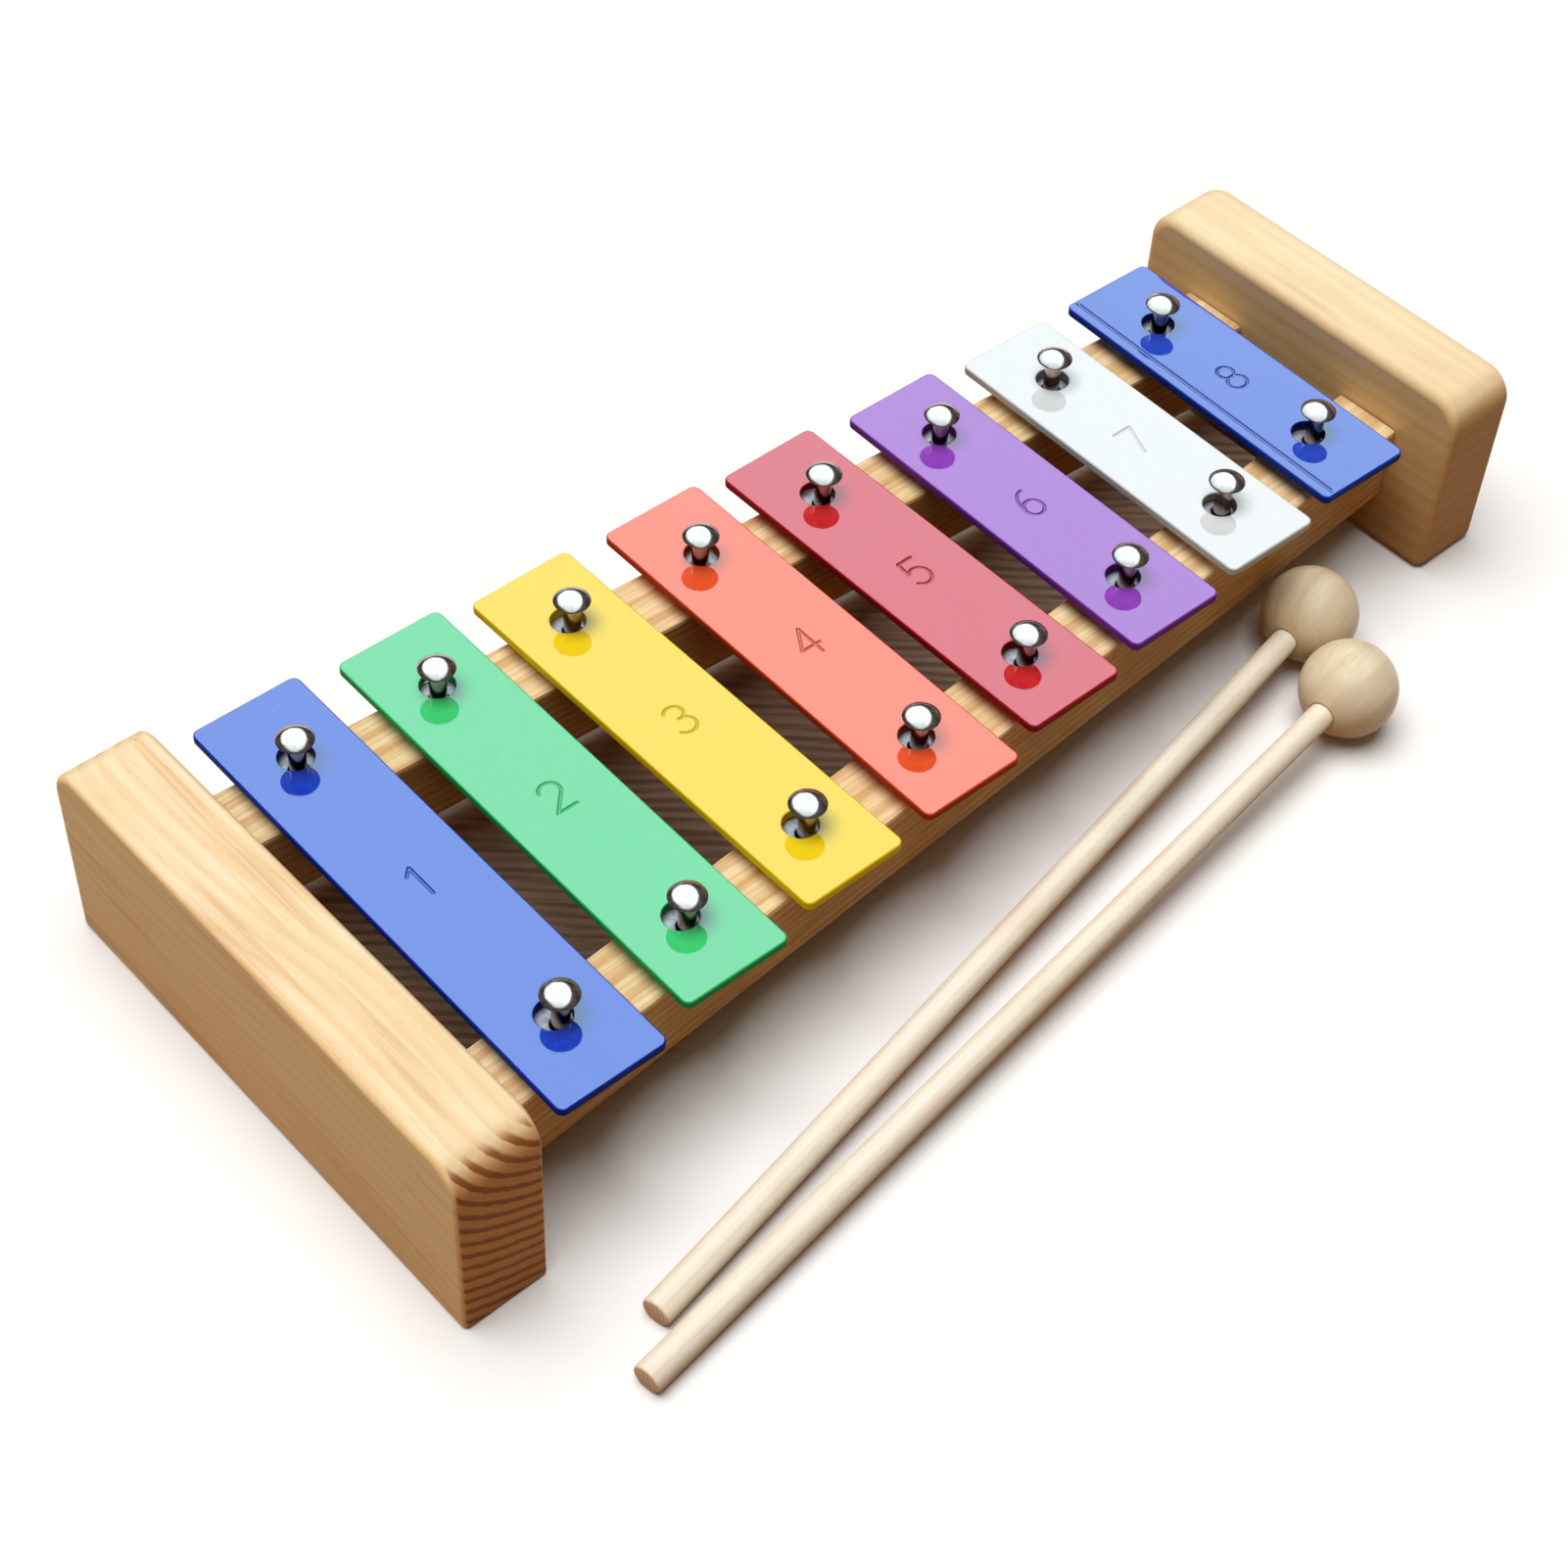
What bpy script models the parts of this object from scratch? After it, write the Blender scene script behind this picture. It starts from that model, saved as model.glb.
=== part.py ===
"""Toy xylophone: eight painted steel tone bars on two pine rails between pine end blocks, with two mallets.

The row runs along X, low notes first. Y points to the back and Z up from the table. The origin is the
middle of the low end block's underside. Every bar rests on washers and can hop up to its pin heads.
"""
import math

import bmesh
import bpy
from mathutils import Vector

# Row of tone bars
PITCH = 0.0300
BAR_WIDTH = 0.0232
BAR_THICK = 0.0021
BAR_LONGEST = 0.1083
BAR_HOLE_TRIM = 0.0047
BAR_CORNER = 0.0020
BAR_EDGE = 0.0005
BAR_HOLE_R = 0.00340
SCALE_STEPS = (0, 2, 4, 5, 7, 9, 11, 12)
OCTAVE = 12
BAR_TINTS = ("blue", "green", "yellow", "orange", "red", "purple", "white", "blue")

# Rolled line beside the low edge of the last bar
LINE_INSET = 0.0026
LINE_R = 0.00045
LINE_DEPTH = 0.00030

# How far each bar has crept within its hole slack: front end, back end, lengthways
CREEP_SHARES = (
    (-0.60, 0.25, 0.78), (-0.45, 0.50, 0.84), (-0.50, -0.30, 0.70), (-0.05, 0.70, 0.50),
    (-0.40, -0.30, 0.84), (-0.25, 0.45, 0.55), (-0.70, 0.15, 0.00), (-0.80, 0.25, 0.50),
)

# Pressed numbers
DIGIT_HEIGHT = 0.0072
DIGIT_WIDTH = 0.0044
STROKE_R = 0.00050
STROKE_DEPTH = 0.00034

# Pins and washers
REST_GAP = 0.0003
PIN_SHANK_R = 0.00170
PIN_NECK_R = 0.00200
PIN_DEPTH = 0.0100
PIN_POINT = 0.0012
HEAD_R = 0.00345
HEAD_DOME = 0.00150
HEAD_RIM = 0.00035
HEAD_UNDER = 0.00065
HEAD_STAND = 0.0058
NECK_FLARE = 0.0016
SLACK_MARGIN = 0.00015
WASHER_R = 0.0050
WASHER_THICK = 0.0025
WASHER_EDGE = 0.00040

# Rails
RAIL_WIDTH = 0.0152
RAIL_HEIGHT = 0.0177
RAIL_CLEAR = 0.0129
RAIL_EDGE = 0.0008
RAIL_Y_LOW = 0.0361
RAIL_Y_HIGH = 0.0227
PIN_OUT_LOW = 0.0013
PIN_IN_HIGH = 0.0011

# End blocks
BLOCK_THICK = 0.0180
BLOCK_HEIGHT = 0.0447
LOW_BLOCK_LENGTH = 0.1152
HIGH_BLOCK_LENGTH = 0.0853
BLOCK_TOP_R = 0.0068
BLOCK_EDGE = 0.0012
LOW_END_GAP = 0.0081
HIGH_END_GAP = 0.0071

# Dowels that join each rail to each block
DOWEL_R = 0.0022
DOWEL_EDGE = 0.0005
DOWEL_IN_BLOCK = 0.0105
DOWEL_PIN_CLEAR = 0.0022
DOWEL_SPACING = 0.0078

# Mallets
BALL_R = 0.0100
BALL_MOUTH_FLAT_R = 0.0041
BALL_BORE_DEPTH = 0.0120
STICK_R = 0.0030
STICK_EDGE = 0.0004
MALLET_REACHES = (0.2080, 0.2061)
BALL_RAIL_GAP = 0.0003
BALL_TO_BLOCK = 0.0361
BALLS_APART = 0.0013
BALLS_SIDE_DEG = 62.5
TAIL_CLEAR = 0.0192
TAILS_APART = 0.0087

# One overrun lets every cutter pass its surface
OVERRUN = 0.0010

# Facets round a turned piece
PIN_STEPS = 16
WASHER_STEPS = 12
HOLE_SIDES = 20
BORE_SIDES = 12
BALL_STEPS = 24
BALL_RINGS = 12
STICK_SIDES = 16
DOME_RINGS = 3
ARC_POINTS = 9
MERGE = 0.00001

# Places worked out from the sizes above
RAIL_TOP = RAIL_CLEAR + RAIL_HEIGHT
BAR_UNDERSIDE = RAIL_TOP + REST_GAP + WASHER_THICK + REST_GAP
BAR_TOP = BAR_UNDERSIDE + BAR_THICK
ROW_START = BLOCK_THICK / 2 + LOW_END_GAP + BAR_WIDTH / 2
ROW_END = ROW_START + PITCH * (len(SCALE_STEPS) - 1)
LOW_FACE = BLOCK_THICK / 2
HIGH_FACE = ROW_END + BAR_WIDTH / 2 + HIGH_END_GAP
HOLE_SLACK = BAR_HOLE_R - PIN_NECK_R - SLACK_MARGIN
BORE_R = DOWEL_R + REST_GAP


def bar_length(index):
    """A plain bar's pitch goes with one over its length squared, and each is trimmed for its holes."""
    return (BAR_LONGEST + BAR_HOLE_TRIM) * 2 ** (-SCALE_STEPS[index] / (2 * OCTAVE)) - BAR_HOLE_TRIM


def bar_x(index):
    return ROW_START + PITCH * index


def along_row(low, high, x):
    """Straight line between a value at the first bar and a value at the last."""
    return low + (high - low) * (x - ROW_START) / (ROW_END - ROW_START)


def rail_y(x):
    return along_row(RAIL_Y_LOW, RAIL_Y_HIGH, x)


def pin_y(x):
    return rail_y(x) + along_row(PIN_OUT_LOW, -PIN_IN_HIGH, x)


def clear_scene():
    for item in list(bpy.data.objects):
        bpy.data.objects.remove(item, do_unlink=True)


def new_collection(name):
    group = bpy.data.collections.new(name)
    bpy.context.scene.collection.children.link(group)
    return group


def new_material(name, colour, roughness, metallic):
    surface = bpy.data.materials.new(name)
    surface.use_nodes = True
    shader = surface.node_tree.nodes["Principled BSDF"]
    shader.inputs["Base Color"].default_value = (*colour, 1.0)
    shader.inputs["Roughness"].default_value = roughness
    shader.inputs["Metallic"].default_value = metallic
    surface.diffuse_color = (*colour, 1.0)
    return surface


def place(item, group, surface=None, parent=None):
    """Move an object to its collection and give it its material and parent."""
    for old in list(item.users_collection):
        old.objects.unlink(item)
    group.objects.link(item)
    if surface is not None:
        item.data.materials.clear()
        item.data.materials.append(surface)
    if parent is not None:
        item.parent = parent
    return item


def as_cutter(item):
    place(item, CUTTERS)
    item.hide_render = True
    item.display_type = "WIRE"
    return item


def add_box(name, size, location):
    bpy.ops.mesh.primitive_cube_add(size=1, location=location)
    item = bpy.context.active_object
    item.name = name
    item.data.name = name
    return scale_mesh(item, size)


def scale_mesh(item, size):
    """Stretch the unit cube itself, so that the object keeps a scale of one."""
    for corner in item.data.vertices:
        corner.co = Vector((corner.co.x * size[0], corner.co.y * size[1], corner.co.z * size[2]))
    return item


def add_cylinder(name, radius, length, location, axis, sides):
    bpy.ops.mesh.primitive_cylinder_add(vertices=sides, radius=radius, depth=length, location=location)
    item = bpy.context.active_object
    item.name = name
    item.data.name = name
    if axis == "X":
        item.rotation_euler = (0, math.pi / 2, 0)
    return item


def round_some_edges(item, keep, width, segments):
    """Round the edges for which keep(first corner, second corner) holds."""
    work = bmesh.new()
    work.from_mesh(item.data)
    chosen = [edge for edge in work.edges if keep(edge.verts[0].co, edge.verts[1].co)]
    bmesh.ops.bevel(work, geom=chosen, offset=width, segments=segments, profile=0.5, affect="EDGES")
    work.to_mesh(item.data)
    work.free()


def bevel(item, width, segments, angle_deg=40):
    tool = item.modifiers.new("Rounded edges", "BEVEL")
    tool.width = width
    tool.segments = segments
    tool.limit_method = "ANGLE"
    tool.angle_limit = math.radians(angle_deg)
    return tool


def cut(item, cutter):
    tool = item.modifiers.new("Cut " + cutter.name, "BOOLEAN")
    tool.operation = "DIFFERENCE"
    tool.solver = "EXACT"
    tool.object = cutter
    return tool


def smooth(item):
    item.data.shade_smooth()
    item.data.set_sharp_from_angle(angle=math.radians(35))


def profile_mesh(name, points, closed):
    """Outline in the XZ plane, listed from the top down its outer side."""
    outline = bpy.data.meshes.new(name)
    pairs = [(i, i + 1) for i in range(len(points) - 1)]
    if closed:
        pairs.append((len(points) - 1, 0))
    outline.from_pydata([(r, 0, z) for r, z in points], pairs, [])
    return outline


def turned(name, outline, steps, location):
    item = bpy.data.objects.new(name, outline)
    bpy.context.scene.collection.objects.link(item)
    item.location = location
    tool = item.modifiers.new("Turned", "SCREW")
    tool.axis = "Z"
    tool.angle = math.radians(360)
    tool.steps = steps
    tool.render_steps = steps
    tool.use_merge_vertices = True
    tool.merge_threshold = MERGE
    tool.use_smooth_shade = True
    return item


def mesh_from_curve(curve_object, name):
    """Closed mesh of a curve, with its end caps welded on."""
    bpy.context.view_layer.update()
    graph = bpy.context.evaluated_depsgraph_get()
    shape = bpy.data.meshes.new_from_object(curve_object.evaluated_get(graph))
    work = bmesh.new()
    work.from_mesh(shape)
    bmesh.ops.remove_doubles(work, verts=work.verts, dist=MERGE)
    work.to_mesh(shape)
    work.free()
    item = bpy.data.objects.new(name, shape)
    bpy.context.scene.collection.objects.link(item)
    item.matrix_world = curve_object.matrix_world
    bpy.data.objects.remove(curve_object, do_unlink=True)
    return item


def stroke_cutter(name, points, radius, height, closed):
    """Round bar that follows points at one height, to press a groove."""
    path = bpy.data.curves.new(name + "_path", "CURVE")
    path.dimensions = "3D"
    path.bevel_depth = radius
    path.bevel_resolution = 1
    path.use_fill_caps = True
    line = path.splines.new("POLY")
    line.points.add(len(points) - 1)
    for slot, (x, y) in zip(line.points, points):
        slot.co = (x, y, height, 1)
    line.use_cyclic_u = closed
    holder = bpy.data.objects.new(name + "_path", path)
    bpy.context.scene.collection.objects.link(holder)
    return as_cutter(mesh_from_curve(holder, name))


def arc(centre_share, radius_share, start_deg, end_deg, count=ARC_POINTS):
    """Points round an ellipse, as shares of the number's width and height."""
    turns = [start_deg + (end_deg - start_deg) * i / (count - 1) for i in range(count)]
    return [(centre_share[0] + radius_share[0] * math.cos(math.radians(turn)),
             centre_share[1] + radius_share[1] * math.sin(math.radians(turn))) for turn in turns]


def loop(centre_share, radius_share):
    return arc(centre_share, radius_share, 90, 90 + 360, ARC_POINTS + 4)[:-1]


def digit_strokes(number):
    """Strokes of one number, each as (points in shares of its box, closed or not)."""
    if number == 1:
        return [([(0.18, 0.78), (0.54, 1.0)], False), ([(0.54, 1.0), (0.54, 0)], False)]
    if number == 2:
        return [(arc((0.50, 0.72), (0.48, 0.28), 165, -35) + [(0.03, 0.02)], False),
                ([(0.03, 0), (1.0, 0)], False)]
    if number == 3:
        return [(arc((0.46, 0.755), (0.44, 0.245), 150, -90), False),
                (arc((0.46, 0.27), (0.50, 0.27), 90, -150), False)]
    if number == 4:
        return [([(0.74, 0), (0.74, 1.0)], False), ([(0.72, 0.98), (0.0, 0.30), (1.0, 0.30)], False)]
    if number == 5:
        return [([(0.92, 1.0), (0.15, 1.0), (0.10, 0.56)], False),
                (arc((0.47, 0.32), (0.50, 0.32), 140, -145), False)]
    if number == 6:
        return [(loop((0.50, 0.30), (0.47, 0.30)), True),
                (arc((0.75, 0.35), (0.71, 0.65), 178, 90), False)]
    if number == 7:
        return [([(0.02, 1.0), (0.98, 1.0)], False), ([(0.98, 0.98), (0.36, 0)], False)]
    return [(loop((0.50, 0.755), (0.41, 0.245)), True), (loop((0.50, 0.27), (0.50, 0.27)), True)]


def press_number(bar, number):
    """Press the bar's number into its top, upright as seen from the front."""
    level = BAR_THICK / 2 + STROKE_R - STROKE_DEPTH
    for count, (shares, closed) in enumerate(digit_strokes(number)):
        points = [((x - 0.5) * DIGIT_WIDTH, (y - 0.5) * DIGIT_HEIGHT) for x, y in shares]
        cutter = stroke_cutter("number_%d_stroke_%d" % (number, count + 1), points, STROKE_R, level, closed)
        cutter.parent = bar
        cut(bar, cutter)


def make_bar(index):
    """Steel plate with rounded corners, two pin holes and its pressed number."""
    number = index + 1
    length = bar_length(index)
    x = bar_x(index)
    reach = pin_y(x)
    front, back, lengthways = (share * HOLE_SLACK for share in CREEP_SHARES[index])
    turn = (front - back) / (2 * reach)
    centre = (x + (front + back) / 2, lengthways, BAR_UNDERSIDE + BAR_THICK / 2)
    bar = add_box("tone_bar_%d_%s" % (number, BAR_TINTS[index]), (BAR_WIDTH, length, BAR_THICK), centre)
    bar.rotation_euler = (0, 0, turn)
    round_some_edges(bar, lambda a, b: abs(a.z - b.z) > BAR_THICK / 2, BAR_CORNER, 3)
    bevel(bar, BAR_EDGE, 2)
    for side, sign in (("front", -1), ("back", 1)):
        hole = add_cylinder("%s_hole_%d" % (side, number), BAR_HOLE_R, BAR_THICK + 2 * OVERRUN,
                            (0, sign * reach, 0), "Z", HOLE_SIDES)
        as_cutter(hole).parent = bar
        cut(bar, hole)
    if number == len(SCALE_STEPS):
        edge = -BAR_WIDTH / 2 + LINE_INSET
        ends = [(edge, -length / 2 - OVERRUN), (edge, length / 2 + OVERRUN)]
        line = stroke_cutter("rolled_line", ends, LINE_R, BAR_THICK / 2 + LINE_R - LINE_DEPTH, False)
        line.parent = bar
        cut(bar, line)
    press_number(bar, number)
    return place(bar, PARTS, BAR_PAINTS[index])


def pin_outline():
    """Domed head, neck and shank, with Z zero at the rail's top."""
    rim = BAR_TOP - RAIL_TOP + HEAD_STAND
    neck = rim - HEAD_RIM - HEAD_UNDER
    points = [(0, rim + HEAD_DOME)]
    for i in range(1, DOME_RINGS + 1):
        turn = math.pi / 2 * i / (DOME_RINGS + 1)
        points.append((HEAD_R * math.sin(turn), rim + HEAD_DOME * math.cos(turn)))
    points += [(HEAD_R, rim), (HEAD_R, rim - HEAD_RIM), (PIN_NECK_R, neck)]
    points += [(PIN_SHANK_R, neck - NECK_FLARE), (PIN_SHANK_R, -PIN_DEPTH + PIN_POINT), (0, -PIN_DEPTH)]
    return points


def washer_outline():
    """Flat ring with eased outer edges, with Z zero at its underside."""
    inner = PIN_SHANK_R + REST_GAP
    return [(WASHER_R - WASHER_EDGE, WASHER_THICK), (WASHER_R, WASHER_THICK - WASHER_EDGE),
            (WASHER_R, WASHER_EDGE), (WASHER_R - WASHER_EDGE, 0), (inner, 0), (inner, WASHER_THICK)]


def make_pins_and_washers():
    pin_shape = profile_mesh("pin", pin_outline(), False)
    washer_shape = profile_mesh("washer", washer_outline(), True)
    for shape in (pin_shape, washer_shape):
        shape.materials.append(NICKEL)
    for side, sign in (("front", -1), ("back", 1)):
        for index in range(len(SCALE_STEPS)):
            spot = (bar_x(index), sign * pin_y(bar_x(index)))
            pin = turned("%s_pin_%d" % (side, index + 1), pin_shape, PIN_STEPS, (*spot, RAIL_TOP))
            washer = turned("%s_washer_%d" % (side, index + 1), washer_shape, WASHER_STEPS,
                            (*spot, RAIL_TOP + REST_GAP))
            for item in (pin, washer):
                place(item, PARTS)


def make_rail(name, sign):
    """Square rail that runs on a slant from one block's face to the other's."""
    start = LOW_FACE + REST_GAP
    end = HIGH_FACE - REST_GAP
    middle = (start + end) / 2
    centre = (middle, sign * rail_y(middle), RAIL_CLEAR + RAIL_HEIGHT / 2)
    rail = add_box(name, (end - start, RAIL_WIDTH, RAIL_HEIGHT), centre)
    for corner in rail.data.vertices:
        corner.co.y += sign * (rail_y(middle + corner.co.x) - rail_y(middle))
    round_some_edges(rail, lambda a, b: abs(a.x - b.x) > (end - start) / 2, RAIL_EDGE, 2)
    for index in range(len(SCALE_STEPS)):
        x = bar_x(index)
        depth = PIN_DEPTH + REST_GAP
        bore = add_cylinder("%s_pin_bore_%d" % (name, index + 1), PIN_SHANK_R + REST_GAP, depth + OVERRUN,
                            (x, sign * pin_y(x), RAIL_TOP - (depth - OVERRUN) / 2), "Z", BORE_SIDES)
        cut(rail, as_cutter(bore))
    return place(rail, PARTS, PINE_RAIL)


def make_block(name, length, centre_x):
    block = add_box(name, (BLOCK_THICK, length, BLOCK_HEIGHT), (centre_x, 0, BLOCK_HEIGHT / 2))
    round_some_edges(block, lambda a, b: abs(a.x - b.x) > BLOCK_THICK / 2 and a.z > 0, BLOCK_TOP_R, 6)
    bevel(block, BLOCK_EDGE, 2)
    return place(block, PARTS, PINE_BLOCK)


def make_dowels(rail, side, sign, block, end, face, inward):
    """Two dowels, one over the other, half in the block and half in the rail."""
    reach = HIGH_END_GAP + BAR_WIDTH / 2 - PIN_SHANK_R - DOWEL_PIN_CLEAR
    length = DOWEL_IN_BLOCK + REST_GAP + reach
    x = face + inward * (length / 2 - DOWEL_IN_BLOCK)
    y = sign * rail_y(face + inward * reach / 2)
    for level, step in (("lower", -1), ("upper", 1)):
        spot = (x, y, RAIL_CLEAR + RAIL_HEIGHT / 2 + step * DOWEL_SPACING / 2)
        dowel = add_cylinder("%s_%s_%s_dowel" % (end, side, level), DOWEL_R, length, spot, "X", BORE_SIDES)
        bevel(dowel, DOWEL_EDGE, 1)
        smooth(dowel)
        place(dowel, PARTS, BEECH)
        bore = add_cylinder("%s_%s_%s_bore" % (end, side, level), BORE_R, length + 2 * REST_GAP, spot, "X",
                            BORE_SIDES)
        as_cutter(bore)
        cut(block, bore)
        cut(rail, bore)


def ball_outline():
    """Drilled ball, with Z along the stick: zero at the ball's middle and the mouth at the bottom."""
    mouth = STICK_R + REST_GAP
    low = -math.sqrt(BALL_R ** 2 - BALL_MOUTH_FLAT_R ** 2)
    last = math.acos(low / BALL_R)
    points = []
    for i in range(BALL_RINGS + 1):
        turn = last * i / BALL_RINGS
        points.append((BALL_R * math.sin(turn), BALL_R * math.cos(turn)))
    bottom = low + BALL_BORE_DEPTH
    return points + [(mouth, low), (mouth, bottom), (0, bottom)]


def make_mallet(number, head, tail_y):
    """Ball and stick lying on the table: the ball touches it, and so does the stick's tail."""
    reach = MALLET_REACHES[number - 1]
    drop = math.asin((BALL_R - STICK_R) / reach)
    flat = reach * math.cos(drop)
    heading = math.atan2(head[1] - tail_y, math.sqrt(flat ** 2 - (head[1] - tail_y) ** 2))
    mallet = bpy.data.objects.new("mallet_%d_axis" % number, None)
    PARTS.objects.link(mallet)
    mallet.location = (head[0], head[1], BALL_R)
    mallet.rotation_euler = (0, math.pi / 2 - drop, heading)
    ball = turned("mallet_%d_ball" % number, profile_mesh("ball", ball_outline(), False), BALL_STEPS, (0, 0, 0))
    place(ball, PARTS, BALL_WOOD, mallet)
    low = -math.sqrt(BALL_R ** 2 - BALL_MOUTH_FLAT_R ** 2)
    top = low + BALL_BORE_DEPTH - REST_GAP
    stick = add_cylinder("mallet_%d_stick" % number, STICK_R, top + reach,
                         (0, 0, (top - reach) / 2), "Z", STICK_SIDES)
    bevel(stick, STICK_EDGE, 1)
    smooth(stick)
    place(stick, PARTS, STICK_WOOD, mallet)


def make_mallets():
    head_x = HIGH_FACE - BALL_TO_BLOCK
    head_y = -(rail_y(head_x) + RAIL_WIDTH / 2 + BALL_RAIL_GAP + BALL_R)
    tail_y = -(LOW_BLOCK_LENGTH / 2 + TAIL_CLEAR)
    make_mallet(1, (head_x, head_y), tail_y)
    spread = 2 * BALL_R + BALLS_APART
    side = math.radians(BALLS_SIDE_DEG)
    second = (head_x - spread * math.cos(side), head_y - spread * math.sin(side))
    make_mallet(2, second, tail_y - TAILS_APART)


clear_scene()
PARTS = new_collection("toy_xylophone")
CUTTERS = new_collection("cutters")

PINE_BLOCK = new_material("block_pine", (0.78, 0.57, 0.33), 0.55, 0.0)
PINE_RAIL = new_material("rail_pine", (0.74, 0.51, 0.28), 0.58, 0.0)
BEECH = new_material("dowel_beech", (0.66, 0.47, 0.30), 0.6, 0.0)
BALL_WOOD = new_material("ball_wood", (0.70, 0.58, 0.40), 0.45, 0.0)
STICK_WOOD = new_material("stick_wood", (0.80, 0.70, 0.52), 0.5, 0.0)
NICKEL = new_material("nickel", (0.80, 0.79, 0.77), 0.08, 1.0)
PAINT_COLOURS = ((0.05, 0.12, 0.62), (0.06, 0.58, 0.18), (0.95, 0.68, 0.02), (0.90, 0.12, 0.04),
                 (0.62, 0.02, 0.05), (0.24, 0.06, 0.48), (0.85, 0.90, 0.93), (0.05, 0.12, 0.62))
BAR_PAINTS = [new_material("paint_%d_%s" % (i + 1, BAR_TINTS[i]), PAINT_COLOURS[i], 0.2, 0.0)
              for i in range(len(SCALE_STEPS))]

LOW_BLOCK = make_block("low_end_block", LOW_BLOCK_LENGTH, 0)
HIGH_BLOCK = make_block("high_end_block", HIGH_BLOCK_LENGTH, HIGH_FACE + BLOCK_THICK / 2)
for rail_side, rail_sign in (("front", -1), ("back", 1)):
    rail_piece = make_rail(rail_side + "_rail", rail_sign)
    make_dowels(rail_piece, rail_side, rail_sign, LOW_BLOCK, "low", LOW_FACE, 1)
    make_dowels(rail_piece, rail_side, rail_sign, HIGH_BLOCK, "high", HIGH_FACE, -1)
make_pins_and_washers()
for bar_index in range(len(SCALE_STEPS)):
    make_bar(bar_index)
make_mallets()
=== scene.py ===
import math

import bmesh
import bpy
import numpy as np
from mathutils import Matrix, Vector
from mathutils.geometry import delaunay_2d_cdt


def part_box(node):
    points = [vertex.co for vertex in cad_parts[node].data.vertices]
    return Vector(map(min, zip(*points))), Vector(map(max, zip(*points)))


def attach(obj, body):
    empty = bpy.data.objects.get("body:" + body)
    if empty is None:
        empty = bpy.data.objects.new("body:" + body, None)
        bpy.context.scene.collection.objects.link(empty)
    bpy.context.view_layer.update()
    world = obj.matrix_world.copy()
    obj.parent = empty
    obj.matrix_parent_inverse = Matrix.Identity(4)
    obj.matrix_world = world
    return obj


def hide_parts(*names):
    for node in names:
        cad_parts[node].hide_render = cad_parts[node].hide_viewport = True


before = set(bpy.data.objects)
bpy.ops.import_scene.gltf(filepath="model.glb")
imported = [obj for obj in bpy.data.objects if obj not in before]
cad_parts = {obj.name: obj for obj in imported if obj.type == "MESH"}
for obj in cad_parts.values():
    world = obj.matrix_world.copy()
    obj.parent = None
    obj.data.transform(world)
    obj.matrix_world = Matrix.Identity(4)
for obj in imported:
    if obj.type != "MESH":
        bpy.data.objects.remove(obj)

scene = bpy.context.scene
for startupName in ("Cube", "Light", "Camera"):
    if startupName in bpy.data.objects:
        bpy.data.objects.remove(bpy.data.objects[startupName], do_unlink=True)
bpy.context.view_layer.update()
print("frame loaded")


# Small helpers for node trees

def addNode(tree, kind, settings=None, values=None):
    node = tree.nodes.new(kind)
    for name, value in (settings or {}).items():
        setattr(node, name, value)
    for name, value in (values or {}).items():
        node.inputs[name].default_value = value
    return node


def feed(tree, socket, value):
    # a socket takes either another socket or a plain value, and a colour gets its alpha here
    if isinstance(value, bpy.types.NodeSocket):
        tree.links.new(value, socket)
    elif socket.type == "RGBA":
        socket.default_value = (*value, 1.0)
    else:
        socket.default_value = value


def feedAll(tree, sockets, values):
    for socket, value in zip(sockets, values):
        feed(tree, socket, value)


def sums(tree, operation, first, second=0.0, third=0.0, clamp=False):
    node = addNode(tree, "ShaderNodeMath", settings={"operation": operation, "use_clamp": clamp})
    feedAll(tree, node.inputs, (first, second, third))
    return node.outputs[0]


def times(tree, first, second):
    return sums(tree, "MULTIPLY", first, second)


def timesPlus(tree, first, second, third):
    return sums(tree, "MULTIPLY_ADD", first, second, third)


def vectors(tree, operation, first, second=(0, 0, 0)):
    node = addNode(tree, "ShaderNodeVectorMath", settings={"operation": operation})
    feedAll(tree, node.inputs, (first, second))
    return node.outputs["Value" if operation in ("DOT_PRODUCT", "LENGTH") else "Vector"]


def splitAxes(tree, vector):
    node = addNode(tree, "ShaderNodeSeparateXYZ")
    feed(tree, node.inputs[0], vector)
    return node.outputs


def joinAxes(tree, parts):
    node = addNode(tree, "ShaderNodeCombineXYZ")
    feedAll(tree, node.inputs, parts)
    return node.outputs[0]


def ramp(tree, value, low, high, outLow=0.0, outHigh=1.0):
    # smooth step from one level to another
    node = addNode(tree, "ShaderNodeMapRange", settings={"interpolation_type": "SMOOTHSTEP"})
    feedAll(tree, node.inputs, (value, low, high, outLow, outHigh))
    return node.outputs["Result"]


def blend(tree, share, first, second, mode="MIX"):
    node = addNode(tree, "ShaderNodeMix", settings={"data_type": "RGBA", "blend_type": mode})
    feed(tree, node.inputs["Factor"], share)
    feed(tree, node.inputs["A"], first)
    feed(tree, node.inputs["B"], second)
    return node.outputs["Result"]


def noise(tree, vector, scale, detail=2.0, roughness=0.5, distortion=0.0):
    node = addNode(tree, "ShaderNodeTexNoise")
    feed(tree, node.inputs["Vector"], vector)
    for name, entry in (("Scale", scale), ("Detail", detail), ("Roughness", roughness),
                        ("Distortion", distortion)):
        feed(tree, node.inputs[name], entry)
    return node.outputs["Fac"]


def stretchedNoise(tree, vector, stretch, detail, roughness, distortion=0.0):
    return noise(tree, vectors(tree, "MULTIPLY", vector, stretch), 1.0, detail, roughness, distortion)


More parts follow.
